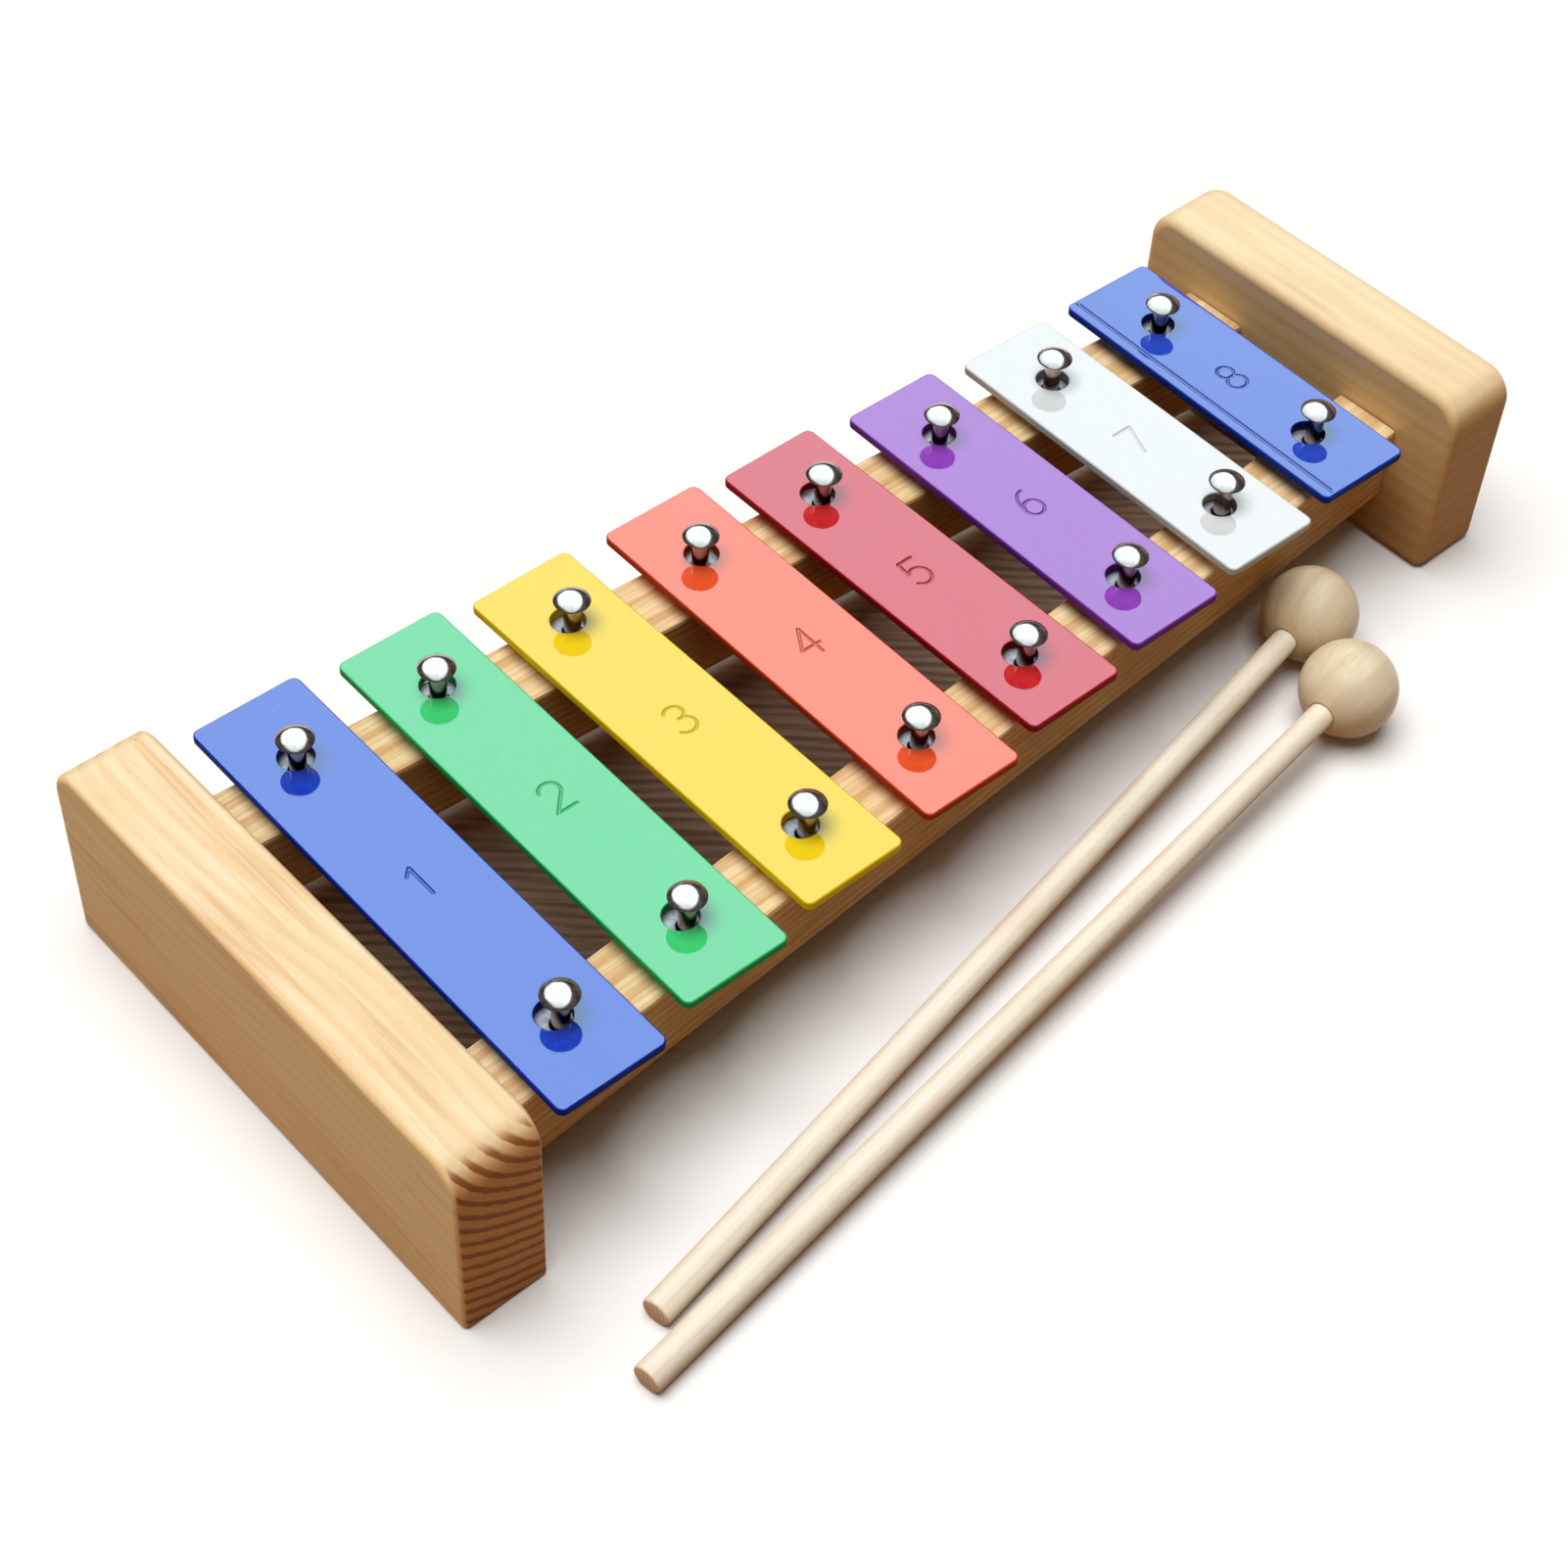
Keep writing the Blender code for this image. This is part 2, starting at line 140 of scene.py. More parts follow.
def newGroup(name, inputs, outputs):
    # an input's default tells its kind, and every output is a number
    group = bpy.data.node_groups.new(name, "ShaderNodeTree")
    for label, default in inputs.items():
        kind = "NodeSocketFloat" if isinstance(default, float) else "NodeSocketVector"
        socket = group.interface.new_socket(name=label, in_out="INPUT", socket_type=kind)
        socket.default_value = default
    for label in outputs:
        group.interface.new_socket(name=label, in_out="OUTPUT", socket_type="NodeSocketFloat")
    return group, addNode(group, "NodeGroupInput").outputs, addNode(group, "NodeGroupOutput").inputs


def useGroup(tree, group, values):
    node = addNode(tree, "ShaderNodeGroup", settings={"node_tree": group})
    for name, value in values.items():
        feed(tree, node.inputs[name], value)
    return node.outputs


# Shared effects

# how finely each kind of grain is drawn along and across it, then its detail and roughness
grainKinds = {
    "fine": ((30, 420, 420), 2.0, 0.5), "fibre": ((70, 3200, 3200), 3.0, 0.6),
    "blotch": ((22, 75, 75), 3.0, 0.55), "patches": ((24, 130, 130), 2.0, 0.5),
    "thin": ((14, 620, 620), 2.0, 0.6), "pores": ((240, 5200, 5200), 1.0, 0.5),
}


def makePineRings():
    # growth rings round a pith line, for grain that runs along X
    tree, given, gives = newGroup("pineRings", {
        "Vector": (0, 0, 0), "Ring Spacing": 0.0028, "Pith": (0, 0, -0.1), "Tilt": (0, 0, 0), "Wobble": 0.5,
        "Wobble Scale": (9, 42, 42), "Line Scale": (8, 1100, 1100), "Seed": 0.0,
    }, ("Late Wood", "Lines", "Fibre", "Blotch", "Streak", "Pores"))
    vector = given["Vector"]
    split = splitAxes(tree, vector)
    seed = given["Seed"]
    moved = vectors(tree, "ADD", vector, joinAxes(tree, (seed, seed, 0)))
    drift = vectors(tree, "MULTIPLY", given["Tilt"], split["X"])
    offset = vectors(tree, "SUBTRACT", vectors(tree, "ADD", vector, drift), given["Pith"])
    across = vectors(tree, "LENGTH", vectors(tree, "MULTIPLY", offset, (0, 1, 1)))
    grain = {kind: stretchedNoise(tree, moved, *values) for kind, values in grainKinds.items()}
    slow = stretchedNoise(tree, moved, given["Wobble Scale"], 1.5, 0.4)
    swing = times(tree, sums(tree, "SUBTRACT", slow, 0.5), given["Wobble"])
    swing = timesPlus(tree, sums(tree, "SUBTRACT", grain["fine"], 0.5), 0.28, swing)
    phase = sums(tree, "ADD", sums(tree, "DIVIDE", across, given["Ring Spacing"]), swing)
    part = sums(tree, "FRACT", phase)
    year = sums(tree, "FLOOR", phase)
    chance = addNode(tree, "ShaderNodeTexWhiteNoise", settings={"noise_dimensions": "1D"})
    feed(tree, chance.inputs["W"], sums(tree, "ADD", year, seed))
    rise = ramp(tree, part, timesPlus(tree, chance.outputs["Value"], 0.25, 0.1), 0.82)
    late = times(tree, rise, ramp(tree, part, 0.82, 1.0, 1.0, 0.0))
    late = times(tree, late, timesPlus(tree, chance.outputs["Value"], 0.45, 0.55))
    lines = stretchedNoise(tree, moved, given["Line Scale"], 2.0, 0.55)
    streak = times(tree, ramp(tree, grain["patches"], 0.52, 0.68), ramp(tree, grain["thin"], 0.42, 0.62))
    feedAll(tree, gives, (late, ramp(tree, lines, 0.38, 0.66), grain["fibre"], grain["blotch"], streak,
                          ramp(tree, grain["pores"], 0.66, 0.76)))
    return tree


def makeEdgeRub():
    # where the surface turns from one flat side to the next, broken up by noise
    tree, given, gives = newGroup("edgeRub", {
        "Vector": (0, 0, 0), "Normal": (0, 0, 0), "Start": 0.985, "Full": 0.86, "Patch Scale": 400.0,
        "Breakup": 0.6}, ("Rub",))
    split = splitAxes(tree, vectors(tree, "ABSOLUTE", given["Normal"]))
    largest = sums(tree, "MAXIMUM", sums(tree, "MAXIMUM", split["X"], split["Y"]), split["Z"])
    turned = ramp(tree, largest, given["Full"], given["Start"], 1.0, 0.0)
    patch = noise(tree, given["Vector"], given["Patch Scale"], 3.0, 0.6)
    broken = sums(tree, "SUBTRACT", 1.0, times(tree, given["Breakup"], ramp(tree, patch, 0.35, 0.65)))
    feed(tree, gives["Rub"], times(tree, turned, broken))
    return tree


def makeHandling():
    # finger smudges, dust specks and hairline scratches
    tree, given, gives = newGroup("handling", {
        "Vector": (0, 0, 0), "Smudge Scale": 90.0, "Speck Scale": 700.0, "Speck Size": 0.1,
    }, ("Smudge", "Speck", "Scratch", "Ripple"))
    vector = given["Vector"]
    smudge = noise(tree, vector, given["Smudge Scale"], 4.0, 0.62, 0.6)
    cells = addNode(tree, "ShaderNodeTexVoronoi")
    feed(tree, cells.inputs["Vector"], vector)
    feed(tree, cells.inputs["Scale"], given["Speck Scale"])
    near = ramp(tree, cells.outputs["Distance"], 0.0, given["Speck Size"], 1.0, 0.0)
    tint = addNode(tree, "ShaderNodeSeparateColor")
    feed(tree, tint.inputs[0], cells.outputs["Color"])
    rare = ramp(tree, tint.outputs[0], 0.86, 0.9)
    lines = stretchedNoise(tree, vector, (60, 2600, 2600), 2.0, 0.5, 0.4)
    patches = noise(tree, vector, 60.0)
    scratch = times(tree, ramp(tree, lines, 0.7, 0.74), ramp(tree, patches, 0.5, 0.62))
    feedAll(tree, gives, (ramp(tree, smudge, 0.4, 0.68), times(tree, near, rare), scratch,
                           noise(tree, vector, 420.0)))
    return tree


pineRings = makePineRings()
edgeRub = makeEdgeRub()
handling = makeHandling()
print("shared effects ready")


def newMaterial(name):
    material = bpy.data.materials.new(name)
    material.use_nodes = True
    tree = material.node_tree
    tree.nodes.clear()
    output = addNode(tree, "ShaderNodeOutputMaterial")
    shader = addNode(tree, "ShaderNodeBsdfPrincipled")
    tree.links.new(shader.outputs[0], output.inputs[0])
    return material, tree, shader, addNode(tree, "ShaderNodeTexCoord").outputs


def addBump(tree, shader, height, distance, strength=1.0):
    bump = addNode(tree, "ShaderNodeBump", values={"Strength": strength, "Distance": distance})
    feed(tree, bump.inputs["Height"], height)
    feed(tree, shader.inputs["Normal"], bump.outputs[0])


# Wood

# what most pieces share, then what each has of its own
plainWood = {
    "grainAxis": "Z", "wobble": 1.6, "wobbleScale": (9, 40, 40), "sideShadeTint": (1, 1, 1), "sideShadeShare": 0.0,
    "arcStrength": 0.3, "lateStrength": 0.4, "lineStrength": 0.22, "streakStrength": 0.25,
    "rubShare": 0.3, "roughness": 0.5, "specular": 0.2,
    "endStart": 0.55, "endFull": 0.98, "warmStart": 0.42, "warmFull": 0.70, "warmShare": 0.3,
    "fibreStart": 0.50, "fibreFull": 0.78, "fibreShare": 0.16, "poreShare": 0.2,
    "wallStart": 0.85, "wallFull": 0.25, "footLow": -0.022, "footHigh": 0.020, "backArcs": 0.4,
    "relief": 0.00005, "glossTint": (1.0, 0.78, 0.55),
}
ballWood = {"wobbleScale": (20, 60, 60), "lineScale": (30, 900, 900), "roughness": 0.30, "specular": 0.30}
woods = {
    "lowBlock": {
        "grainAxis": "Y", "spacing": 0.0029, "pith": (0, 0.022, 0.0415), "tilt": (0, 0.05, 0.03),
        "wobble": 5.0, "wobbleScale": (15, 13, 7), "lineScale": (9, 1000, 1000), "seed": 3.1,
        "early": (0.98, 0.82, 0.55), "late": (0.88, 0.50, 0.19),
        "endLight": (0.68, 0.34, 0.125), "endDark": (0.27, 0.080, 0.022), "edge": (0.88, 0.53, 0.22),
        "sideShadeTint": (0.97, 0.90, 0.64), "footShadeTint": (0.90, 0.80, 0.68), "sideShadeShare": 0.9,
        "arcStrength": 0.9, "lineStrength": 0.20, "streakStrength": 0.42, "rubShare": 0.5,
    },
    "highBlock": {
        "grainAxis": "Y", "spacing": 0.0042, "pith": (0, -0.012, -0.120), "tilt": (0, 0.02, 0.03),
        "wobble": 1.4, "lineScale": (7, 520, 520), "seed": 8.7,
        "early": (0.97, 0.82, 0.55), "late": (0.82, 0.50, 0.22),
        "endLight": (0.66, 0.42, 0.20), "endDark": (0.52, 0.30, 0.13), "edge": (0.86, 0.56, 0.26),
        "sideShadeTint": (1.0, 0.90, 0.70), "footShadeTint": (0.72, 0.62, 0.50), "sideShadeShare": 1.0,
        "arcStrength": 0.22, "lineStrength": 0.18, "streakStrength": 0.35, "rubShare": 0.45,
    },
    "rail": {
        "grainAxis": "X", "spacing": 0.0019, "pith": (0, 0.004, -0.060), "tilt": (0, 0, 0.03),
        "wobble": 2.0, "wobbleScale": (7, 40, 40), "lineScale": (9, 1300, 1300), "seed": 5.4,
        "early": (0.93, 0.74, 0.43), "late": (0.55, 0.24, 0.06),
        "endLight": (0.70, 0.42, 0.19), "endDark": (0.50, 0.24, 0.09), "edge": (0.76, 0.44, 0.18),
        "sideShadeTint": (0.80, 0.66, 0.46), "sideShadeShare": 1.0, "arcStrength": 0.7, "lateStrength": 0.55,
        "lineStrength": 0.35, "streakStrength": 0.6, "roughness": 0.56, "specular": 0.15,
    },
    "dowel": {
        "grainAxis": "X", "spacing": 0.0016, "pith": (0, 0.01, -0.03), "tilt": (0, 0, 0.02),
        "wobble": 1.0, "wobbleScale": (9, 42, 42), "lineScale": (20, 1300, 1300), "seed": 2.2,
        "early": (0.72, 0.50, 0.31), "late": (0.58, 0.36, 0.20),
        "endLight": (0.60, 0.38, 0.21), "endDark": (0.45, 0.26, 0.13), "edge": (0.55, 0.34, 0.18),
        "arcStrength": 0.6, "lineStrength": 0.25, "streakStrength": 0.3, "roughness": 0.6,
    },
    # a darker tan for the ball beside the rail, partly painted shade
    "ballTanShaded": {
        **ballWood, "spacing": 0.0052, "pith": (0, 0.016, -0.030), "tilt": (0, 0.05, 0.06), "seed": 6.6,
        "early": (0.82, 0.73, 0.53), "late": (0.58, 0.42, 0.24),
        "endLight": (0.78, 0.62, 0.39), "endDark": (0.62, 0.44, 0.24), "edge": (0.74, 0.57, 0.36),
        "streakStrength": 0.2,
    },
    "ballPale": {
        **ballWood, "spacing": 0.0056, "pith": (0, -0.018, -0.034), "tilt": (0, 0.05, 0.04), "seed": 1.9,
        "early": (0.90, 0.79, 0.57), "late": (0.66, 0.49, 0.29),
        "endLight": (0.88, 0.73, 0.51), "endDark": (0.74, 0.55, 0.33), "edge": (0.82, 0.67, 0.46),
        "lineStrength": 0.25,
    },
    "stick": {
        "spacing": 0.0012, "pith": (0, 0.006, -0.020), "tilt": (0, 0, 0.006),
        "wobbleScale": (7, 120, 120), "lineScale": (9, 2200, 2200), "seed": 4.5,
        "early": (1.0, 0.95, 0.83), "late": (0.88, 0.76, 0.57),
        "endLight": (0.90, 0.70, 0.49), "endDark": (0.74, 0.50, 0.31), "edge": (0.80, 0.58, 0.36),
        "arcStrength": 0.6, "lateStrength": 0.45, "roughness": 0.46, "specular": 0.12,
    },
}


def alongGrain(tree, vector, axis):
    # turns the piece's own coordinates so that the grain runs along X
    split = splitAxes(tree, vector)
    order = {"X": "XYZ", "Y": "YXZ", "Z": "ZYX"}[axis]
    return joinAxes(tree, [split[letter] for letter in order])


def makeWood(name):
    want = {**plainWood, **woods[name]}
    material, tree, shader, place = newMaterial(name + "Wood")
    vector = alongGrain(tree, place["Object"], want["grainAxis"])
    facing = alongGrain(tree, place["Normal"], want["grainAxis"])
    rings = useGroup(tree, pineRings, {
        "Vector": vector, "Ring Spacing": want["spacing"], "Pith": want["pith"],
        "Tilt": want["tilt"], "Wobble": want["wobble"], "Wobble Scale": want["wobbleScale"],
        "Line Scale": want["lineScale"], "Seed": want["seed"]})
    late, fibre, blotch = (rings[label] for label in ("Late Wood", "Fibre", "Blotch"))
    turned = splitAxes(tree, facing)
    towardsEnd = sums(tree, "ABSOLUTE", turned["X"])
    endShare = ramp(tree, towardsEnd, want["endStart"], want["endFull"])
    rub = useGroup(tree, edgeRub, {"Vector": vector, "Normal": facing, "Patch Scale": 320.0})["Rub"]
    warmth = ramp(tree, blotch, want["warmStart"], want["warmFull"], 0.0, want["warmShare"])
    warm = blend(tree, warmth, want["early"], want["edge"])
    side = blend(tree, times(tree, late, want["lateStrength"]), warm, want["late"])
    lines = times(tree, rings["Lines"], want["lineStrength"])
    side = blend(tree, lines, side, want["late"])
    grain = ramp(tree, fibre, want["fibreStart"], want["fibreFull"], 0.0, want["fibreShare"])
    side = blend(tree, grain, side, want["late"])
    streak = times(tree, rings["Streak"], want["streakStrength"])
    side = blend(tree, streak, side, want["endLight"])
    side = blend(tree, times(tree, rub, want["rubShare"]), side, want["edge"])
    # painted shade: the upright sides get a darker, warmer tint than the top
    level = sums(tree, "ABSOLUTE", splitAxes(tree, place["Normal"])["Z"])
    uprightShade = ramp(tree, level, want["wallFull"], want["wallStart"], want["sideShadeShare"], 0.0)
    side = blend(tree, uprightShade, side, want["sideShadeTint"], "MULTIPLY")
    if "footShadeTint" in want:
        # painted shade, deepening towards the foot of the upright sides
        height = splitAxes(tree, place["Object"])["Z"]
        footShadeMask = times(tree, uprightShade, ramp(tree, height, want["footLow"], want["footHigh"], 1.0, 0.0))
        side = blend(tree, footShadeMask, side, want["footShadeTint"], "MULTIPLY")
    # end grain soaks up more finish, and its late wood shows as dark arcs
    end = blend(tree, endShare, side, want["endLight"])
    sideways = sums(tree, "ABSOLUTE", turned["Y"])
    arcStart = timesPlus(tree, sideways, 0.55, 0.36)
    arcFull = timesPlus(tree, sideways, 0.24, 0.78)
    arcs = times(tree, ramp(tree, late, 0.12, 0.6), ramp(tree, towardsEnd, arcStart, arcFull))
    # the front ends were cut across the darkest wood
    strength = want["arcStrength"]
    arcs = times(tree, arcs, ramp(tree, turned["X"], -0.1, 0.1, strength, strength * want["backArcs"]))
    skin = blend(tree, arcs, end, want["endDark"])
    dents = times(tree, rings["Pores"], want["poreShare"])
    feed(tree, shader.inputs["Base Color"], blend(tree, dents, skin, want["endDark"]))
    sheen = timesPlus(tree, fibre, 0.16, want["roughness"] - 0.08)
    feed(tree, shader.inputs["Roughness"], timesPlus(tree, endShare, 0.15, sheen))
    relief = sums(tree, "ADD", times(tree, fibre, 0.5), times(tree, late, 0.4))
    relief = sums(tree, "SUBTRACT", relief, times(tree, rub, times(tree, blotch, 1.2)))
    addBump(tree, shader, relief, want["relief"], 0.7)
    shader.inputs["Specular IOR Level"].default_value = want["specular"]
    feed(tree, shader.inputs["Specular Tint"], want["glossTint"])
    return material


woodMaterials = {name: makeWood(name) for name in woods}
print("woods ready")


# Enamel on the tone bars

def enamel(slot, base, shine, strokeShade, cut):
    # the coat, the tint of its gloss, how dark the painted shade in the pressed strokes is and how much
    # colour the upright sides keep under their painted shade
    return {"slot": slot, "base": base, "shine": shine, "strokeShade": strokeShade, "cut": [cut] * 3}


enamels = {
    "tone_bar_1_blue": enamel("paint_blue", (0.010, 0.054, 0.56), (1.0, 1.0, 1.0), 0.75, 0.5),
    "tone_bar_2_green": enamel("paint_green", (0.050, 0.70, 0.20), (0.98, 0.58, 0.8), 0.6, 0.55),
    "tone_bar_3_yellow": enamel("paint_yellow", (0.96, 0.68, 0.012), (0.5, 0.58, 0.42), 0.6, 1.0),
    "tone_bar_4_orange": enamel("paint_orange", (0.90, 0.098, 0.024), (1.0, 0.9, 0.73), 0.7, 0.45),
    "tone_bar_5_red": enamel("paint_red", (0.63, 0.022, 0.027), (1.0, 0.76, 0.75), 0.7, 0.42),
    "tone_bar_6_purple": enamel("paint_purple", (0.31, 0.060, 0.57), (1.0, 0.81, 0.70), 0.8, 0.55),
    "tone_bar_7_white": enamel("paint_white", (0.78, 0.81, 0.83), (1.0, 0.8, 0.7), 0.04, 0.75),
    "tone_bar_8_blue": enamel("paint_blue", (0.020, 0.070, 0.61), (1.0, 0.95, 0.82), 0.8, 0.5),
}
# where two values stand, the first is for the top and the second for the cut sides
enamelLook = {
    "thin": (0.80, 0.80, 0.82), "dark": (0.5, 0.5, 0.55), "rippleShare": 0.35, "rubShare": 0.3,
    "speckShare": 0.5, "paleLift": 0.4, "relief": 0.000012, "gloss": (0.045, 0.45), "ior": (2.0, 1.3),
    "specular": (0.5, 0.06), "grooveStart": 0.00098, "grooveFull": 0.00080,
}


def tinted(paint, tint):
    return [part * share for part, share in zip(paint, tint)]


def makeEnamel(name, isSide=False):
    want = {**enamelLook, **enamels[name]}
    title = "enamel_%s_%s%s" % (want["slot"].split("_")[1], name.split("_")[2], "_side" if isSide else "")
    material, tree, shader, place = newMaterial(title)
    vector = place["Object"]
    marks = useGroup(tree, handling, {"Vector": vector, "Smudge Scale": 70.0, "Speck Scale": 620.0,
                                      "Speck Size": 0.13})
    rub = useGroup(tree, edgeRub, {"Vector": vector, "Normal": place["Normal"], "Start": 0.99,
                                   "Full": 0.75, "Patch Scale": 700.0, "Breakup": 0.5})["Rub"]
    base = want["base"]
    thin = tinted(base, want["thin"])
    deep = blend(tree, times(tree, marks["Ripple"], want["rippleShare"]), base, thin)
    level = splitAxes(tree, vector)["Z"]
    facing = splitAxes(tree, place["Normal"])["Z"]
    if isSide:
        # painted shade: the upright sides are darker, and the rounded upper edge keeps the full colour
        uprightPaintShade = ramp(tree, facing, 0.05, 0.45, 1.0, 0.0)
        deep = blend(tree, uprightPaintShade, deep, tinted(base, want["cut"]))
    # painted shade in the pressed strokes
    pressedShade = times(tree, ramp(tree, level, want["grooveFull"], want["grooveStart"], 1.0, 0.0),
                   ramp(tree, facing, 0.2, 0.55))
    edged = blend(tree, times(tree, rub, want["rubShare"]), deep, thin)
    edged = blend(tree, times(tree, pressedShade, want["strokeShade"]), edged, tinted(base, want["dark"]))
    lift = want["paleLift"]
    pale = [lift + part * (1 - lift) for part in base]
    skin = blend(tree, times(tree, marks["Speck"], want["speckShare"]), edged, pale)
    feed(tree, shader.inputs["Base Color"], skin)
    # the cut sides took a thinner coat with hardly any gloss
    gloss = timesPlus(tree, marks["Smudge"], 0.035, want["gloss"][isSide])
    feed(tree, shader.inputs["Roughness"], timesPlus(tree, marks["Scratch"], 0.12, gloss))
    relief = timesPlus(tree, marks["Speck"], 0.9, marks["Ripple"])
    addBump(tree, shader, relief, want["relief"], 0.7)
    shader.inputs["IOR"].default_value = want["ior"][isSide]
    shader.inputs["Specular IOR Level"].default_value = want["specular"][isSide]
    feed(tree, shader.inputs["Specular Tint"], want["shine"])
    return material


# Nickel on the pins and washers

nickels = {
    "pin": {"bright": (0.60, 0.445, 0.375), "dull": (0.20, 0.155, 0.13), "roughness": 0.07,
            "rimShadeStart": 0.0022, "rimShadeFull": 0.0037, "rimShare": 0.55, "streaks": 0.12, "neckShadeShare": 0.3,
            "metallic": 1.0},
    "washer": {"bright": (0.62, 0.60, 0.63), "dull": (0.26, 0.24, 0.25), "roughness": 0.42,
               "rimShadeStart": 0.0035, "rimShadeFull": 0.0052, "rimShare": 0.3, "streaks": 0.45, "neckShadeShare": 0.0,
               "metallic": 0.35},
}
headDepth, neckFade = 0.0024, 0.0004
pinLow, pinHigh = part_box("front_pin_1")
neckLevel = (pinHigh.z - pinLow.z) / 2 - headDepth  # from the pin's middle up to the underside of its head


def makeNickel(name):
    want = nickels[name]
    material, tree, shader, place = newMaterial(name + "Nickel")
    vector = place["Object"]
    split = splitAxes(tree, vector)
    radius = vectors(tree, "LENGTH", vectors(tree, "MULTIPLY", vector, (1, 1, 0)))
    turn = sums(tree, "ARCTAN2", split["Y"], split["X"])
    circle = joinAxes(tree, (sums(tree, "COSINE", turn), sums(tree, "SINE", turn), times(tree, radius, 90.0)))
    rays = noise(tree, circle, 4.2, 3.0, 0.6)
    lathe = stretchedNoise(tree, vector, (500, 500, 9000), 2.0, 0.5)
    marks = useGroup(tree, handling, {"Vector": vector, "Smudge Scale": 380.0, "Speck Scale": 1500.0,
                                      "Speck Size": 0.2})
    # painted shade: darker towards the rim of a pin's head, and where a washer lies under its bar
    rim = times(tree, ramp(tree, radius, want["rimShadeStart"], want["rimShadeFull"]), want["rimShare"])
    # radial streaks: turning marks, and on the washers also a painted sheen
    dark = times(tree, ramp(tree, rays, 0.42, 0.62), want["streaks"])
    if want["neckShadeShare"]:
        # painted shade on the neck under the head
        underHeadShade = ramp(tree, split["Z"], neckLevel - neckFade, neckLevel, want["neckShadeShare"], 0.0)
        rim = sums(tree, "MAXIMUM", rim, underHeadShade)
    rimShadeAndSmudge = sums(tree, "ADD", rim, times(tree, marks["Smudge"], 0.25))
    skin = blend(tree, sums(tree, "ADD", rimShadeAndSmudge, dark, clamp=True), want["bright"], want["dull"])
    feed(tree, shader.inputs["Base Color"], skin)
    gloss = timesPlus(tree, marks["Smudge"], 0.08, want["roughness"])
    feed(tree, shader.inputs["Roughness"], timesPlus(tree, lathe, 0.05, gloss))
    relief = timesPlus(tree, rays, want["streaks"], times(tree, lathe, 0.3))
    relief = sums(tree, "SUBTRACT", relief, times(tree, marks["Speck"], 0.6))
    addBump(tree, shader, relief, 0.00002, 0.6)
    shader.inputs["Metallic"].default_value = want["metallic"]
    return material


enamelMaterials = {name: makeEnamel(name) for name in enamels}
sideMaterials = {name: makeEnamel(name, isSide=True) for name in enamels}
nickelMaterials = {name: makeNickel(name) for name in nickels}
print("enamel and nickel ready")


# Small helpers for shapes

def arcPoints(centre, radii, startDeg, endDeg, count):
    turns = [math.radians(startDeg + (endDeg - startDeg) * i / (count - 1)) for i in range(count)]
    return [(centre[0] + radii[0] * math.cos(turn), centre[1] + radii[1] * math.sin(turn)) for turn in turns]


def newPiece(name, mesh, surface, location=(0, 0, 0)):
    piece = bpy.data.objects.new(name, mesh)
    scene.collection.objects.link(piece)
    piece.location = location
    mesh.materials.append(surface)
    return piece


def turnedMesh(name, outline, steps, closed=False):
    # spins an outline of (radius, height) points round Z, given from the top down the outside
    tooClose = 1e-6
    turns = [math.tau * i / steps for i in range(steps)]
    corners, rings = [], []
    for k, (radius, height) in enumerate(outline):
        if k and math.dist(outline[k - 1], outline[k]) < tooClose:
            continue
        count = steps if radius else 1  # a single corner on the axis
        rings.append([len(corners) + i % count for i in range(steps + 1)])
        corners += [(radius * math.cos(turn), radius * math.sin(turn), height) for turn in turns[:count]]
    pairs = list(zip(rings, rings[1:])) + ([(rings[-1], rings[0])] if closed else [])
    faces = [tuple(dict.fromkeys((a[i], b[i], b[i + 1], a[i + 1]))) for a, b in pairs for i in range(steps)]
    mesh = bpy.data.meshes.new(name)
    mesh.from_pydata(corners, [], faces)
    mesh.shade_smooth()
    mesh.set_sharp_from_angle(angle=math.radians(40))
    return mesh


def roundEdges(piece, width, segments):
    tool = piece.modifiers.new("softEdges", "BEVEL")
    tool.width = width
    tool.segments = segments
    tool.limit_method = "ANGLE"
    tool.angle_limit = math.radians(50)
    bpy.context.view_layer.update()
    graph = bpy.context.evaluated_depsgraph_get()
    shape = bpy.data.meshes.new_from_object(piece.evaluated_get(graph))
    piece.modifiers.clear()
    piece.data = shape
    # large sides stay flat while the rounded edges run smoothly into them
    shape.shade_smooth()
    shape.set_sharp_from_angle(angle=math.radians(60))
    tool = piece.modifiers.new("flatSides", "WEIGHTED_NORMAL")
    tool.weight = 80
    tool.keep_sharp = True


def dress(piece, node, body):
    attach(piece, body)
    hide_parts(node)
    return piece


def middleOf(node):
    low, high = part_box(node)
    return (low + high) / 2


def cornersOf(node):
    return np.array([vert.co[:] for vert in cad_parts[node].data.vertices])


# End blocks

blockSettings = {"topRadius": 0.0068, "topSegments": 14, "edgeSegments": 5,
                 "edgeRadius": {"lowBlock": 0.0012, "highBlock": 0.0022}}


def makeBlock(node, surface):
    want = blockSettings
    low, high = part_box(node)
    size = high - low
    work = bmesh.new()
    bmesh.ops.create_cube(work, size=1)
    for vert in work.verts:
        vert.co *= size
    top = [edge for edge in work.edges if edge.verts[0].co.z > 0 and edge.verts[1].co.z > 0
           and edge.verts[0].co.y == edge.verts[1].co.y]
    bmesh.ops.bevel(work, geom=top, offset=want["topRadius"], segments=want["topSegments"], profile=0.5,
                    affect="EDGES")
    mesh = bpy.data.meshes.new(node)
    work.to_mesh(mesh)
    work.free()
    block = newPiece(node.replace("_end", ""), mesh, woodMaterials[surface], (low + high) / 2)
    roundEdges(block, want["edgeRadius"][surface], want["edgeSegments"])
    dress(block, node, "frame")


makeBlock("low_end_block", "lowBlock")
makeBlock("high_end_block", "highBlock")
print("end blocks ready")


# Rails and dowels keep their own shape and get a finish

for node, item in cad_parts.items():
    kind = node.split("_")[-1]
    if kind in ("rail", "dowel"):
        item.data.materials.clear()
        item.data.materials.append(woodMaterials[kind])
print("rails and dowels ready")


# Pins and washers

